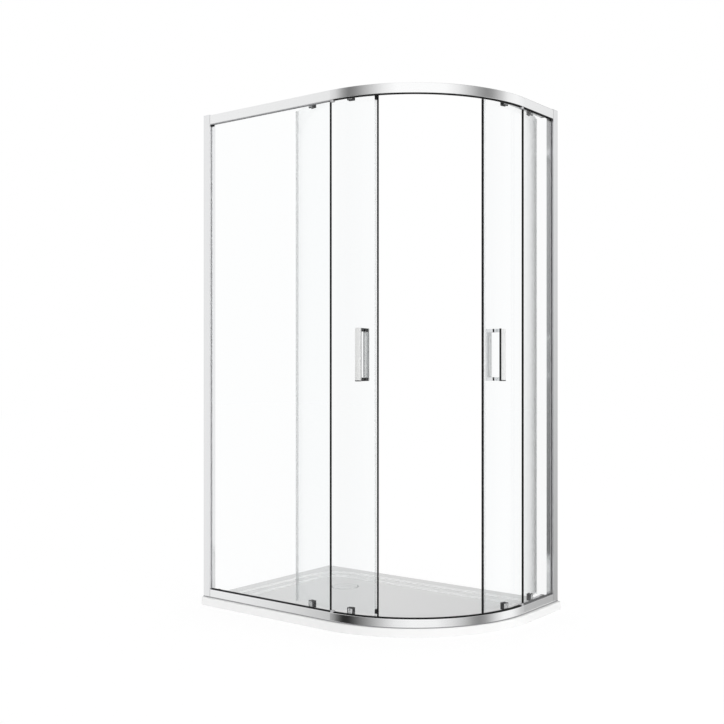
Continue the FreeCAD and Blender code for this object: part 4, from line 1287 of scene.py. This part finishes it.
@dataclass(frozen=True)
class Studio:
    """A white room with soft dark flags beside the camera, which only polished metal shows.

    The flags are stops of bearing, in degrees from straight ahead of the long front
    towards the right, and grey; one row lies above the horizon and one below it.
    """

    flags_above: Stops = (
        (-180.0, 0.05), (-163.0, 0.14), (-150.0, 0.57), (-130.0, 0.81), (-46.0, 0.87),
        (-40.0, 0.83), (-33.6, 0.65), (-27.0, 0.35), (-21.0, 0.19), (-14.5, 0.26), (-1.6, 0.55),
        (11.0, 0.86), (22.0, 1.0), (64.0, 1.0), (76.0, 0.84), (88.5, 0.51), (95.0, 0.36),
        (102.0, 0.26), (108.0, 0.29), (120.0, 0.62), (127.0, 0.87), (139.0, 0.95), (152.0, 0.85),
        (163.0, 0.47), (171.0, 0.04), (180.0, 0.03),
    )
    flags_below: Stops = (
        (-180.0, 0.05), (-163.0, 0.14), (-150.0, 0.57), (-130.0, 0.78), (-46.0, 0.86),
        (-43.0, 0.74), (-40.0, 0.52), (-33.6, 0.15), (-27.0, 0.01), (-21.0, 0.02), (-14.5, 0.10),
        (-1.6, 0.33), (11.0, 0.62), (20.0, 0.82), (35.0, 0.92), (56.0, 0.90), (69.0, 0.73),
        (82.0, 0.50), (89.0, 0.31), (95.0, 0.24), (101.0, 0.31), (114.0, 0.76), (122.0, 0.95),
        (133.0, 0.92), (145.0, 0.60), (152.0, 0.43), (163.0, 0.27), (171.0, 0.03), (180.0, 0.03),
    )
    flag_edge: float = 0.26
    zenith: float = 0.42
    horizon: float = 2.5
    falloff: float = 2.0
    floor_grey: float = 0.85
    floor_shade: float = 0.22
    floor_size: float = 30.0
    lamp_place: Point = (5.0, -1.0, 1.1)
    lamp_target: Point = (0.3, -0.1, 0.5)
    lamp_size: float = 3.0
    lamp_power: float = 38.0

    def build(self) -> None:
        """Add the sky, the floor and the lamp."""
        self._sky()
        self._floor()
        self._lamp()

    def _lamp(self) -> None:
        """A wide soft lamp at the front right, which metal and glass don't show."""
        data = bpy.data.lights.new("front_fill", "AREA")
        data.size = self.lamp_size
        data.energy = self.lamp_power
        lamp = bpy.data.objects.new("front_fill", data)
        lamp.location = self.lamp_place
        away = Vector(self.lamp_place) - Vector(self.lamp_target)
        lamp.rotation_euler = away.to_track_quat("Z", "Y").to_euler()
        lamp.visible_camera = False
        lamp.visible_glossy = False
        lamp.visible_transmission = False
        bpy.context.scene.collection.objects.link(lamp)

    def _flags(self, graph: Graph, turn: Wire, stops: Stops) -> Wire:
        """One row of flags as a ramp over the bearing.

        Args:
            graph: the world's tree.
            turn: the bearing as a share of a full turn.
            stops: bearing in degrees and grey.

        Returns:
            The row's colour.
        """
        shares = tuple((bearing / 360.0 + 0.5, grey) for bearing, grey in stops)
        return graph.wire("ShaderNodeValToRGB", {"stops": shares}, {"Fac": turn})

    def _sky(self) -> None:
        """White to the eye, flagged for metal, soft and brighter at the sides for the rest."""
        world = bpy.data.worlds.new("studio")
        world.use_nodes = True
        bpy.context.scene.world = world
        graph = Graph(world.node_tree)
        heading = graph.wire("ShaderNodeTexCoord", output="Generated")
        parts = graph.node("ShaderNodeSeparateXYZ", {}, {0: heading})
        x, y, z = (Wire(graph, parts.outputs[i]) for i in range(3))
        turn = x.bearing(0.0 - y) / (2.0 * math.pi) + 0.5
        rise = (z / (2.0 * self.flag_edge) + 0.5).at_least(0.0).at_most(1.0)
        flags = graph.blend(
            rise, self._flags(graph, turn, self.flags_below), self._flags(graph, turn, self.flags_above)
        )
        fall = (1.0 - z.at_least(0.0)).power(self.falloff)
        soft = self.zenith + (self.horizon - self.zenith) * fall
        path = graph.node("ShaderNodeLightPath")
        camera, glossy, through = (
            Wire(graph, path.outputs[name])
            for name in ("Is Camera Ray", "Is Glossy Ray", "Is Transmission Ray")
        )
        grey = graph.wire("ShaderNodeCombineColor", {}, {0: soft, 1: soft, 2: soft})
        colour = graph.blend(glossy, grey, flags)
        colour = graph.blend((camera + through).at_most(1.0), colour, (1.0, 1.0, 1.0))
        back = graph.wire("ShaderNodeBackground", {}, {"Color": colour, "Strength": 1.0})
        graph.node("ShaderNodeOutputWorld", {}, {"Surface": back})

    def _floor(self) -> None:
        """A plain pale floor that keeps the tray's soft shadow."""
        half = self.floor_size / 2.0
        mesh = bpy.data.meshes.new("floor")
        corners = [(-half, -half, 0.0), (half, -half, 0.0), (half, half, 0.0), (-half, half, 0.0)]
        mesh.from_pydata(corners, [], [(0, 1, 2, 3)])
        floor = bpy.data.objects.new("floor", mesh)
        bpy.context.scene.collection.objects.link(floor)
        floor.visible_glossy = False
        made = bpy.data.materials.new("studio_floor")
        made.use_nodes = True
        graph = Graph(made.node_tree)
        path = graph.node("ShaderNodeLightPath")
        seen = Wire(graph, path.outputs["Is Camera Ray"])
        for name in ("Is Glossy Ray", "Is Transmission Ray"):
            seen = seen + Wire(graph, path.outputs[name])
        plain = graph.wire("ShaderNodeBsdfDiffuse", {}, {"Color": (*[self.floor_grey] * 3, 1.0)})
        level_share = 2.0 / ((self.falloff + 1.0) * (self.falloff + 2.0))
        level_light = self.zenith + (self.horizon - self.zenith) * level_share
        strength = 1.0 - self.floor_shade * level_light
        white = (1.0, 1.0, 1.0, 1.0)
        glow = graph.wire("ShaderNodeEmission", {}, {"Color": white, "Strength": strength})
        shade = graph.wire("ShaderNodeBsdfDiffuse", {}, {"Color": (*[self.floor_shade] * 3, 1.0)})
        shown = graph.wire("ShaderNodeAddShader", {}, {0: glow, 1: shade})
        shader = graph.wire("ShaderNodeMixShader", {}, {0: seen.at_most(1.0), 1: plain, 2: shown})
        graph.node("ShaderNodeOutputMaterial", {}, {"Surface": shader})
        mesh.materials.append(made)


def main() -> None:
    """Build the camera, the studio and every dressed piece."""
    logging.basicConfig(level=logging.INFO, format="%(name)s: %(message)s")
    bpy.context.scene.view_settings.view_transform = "Standard"
    PhotoCamera().build()
    Studio().build()
    wardrobe = Wardrobe()
    Enclosure(wardrobe).dress()
    WasteCover(wardrobe).build()
    PostScrews(wardrobe).build()
    for side in SIDES:
        GripPlates(wardrobe, side).build()
        GripScrews(wardrobe, side).build()
        DoorSeals(wardrobe, side).build()
        CornerBlocks(wardrobe, side).build()
        EndShoes(wardrobe, side).build()
        for pull in ("outer", "inner"):
            PullFaces(wardrobe, side, pull).build()
    SealCaps(wardrobe, "left").build()
    RailJoints(wardrobe).build()
    SillBead(wardrobe).build()


if __name__ == "__main__":
    main()
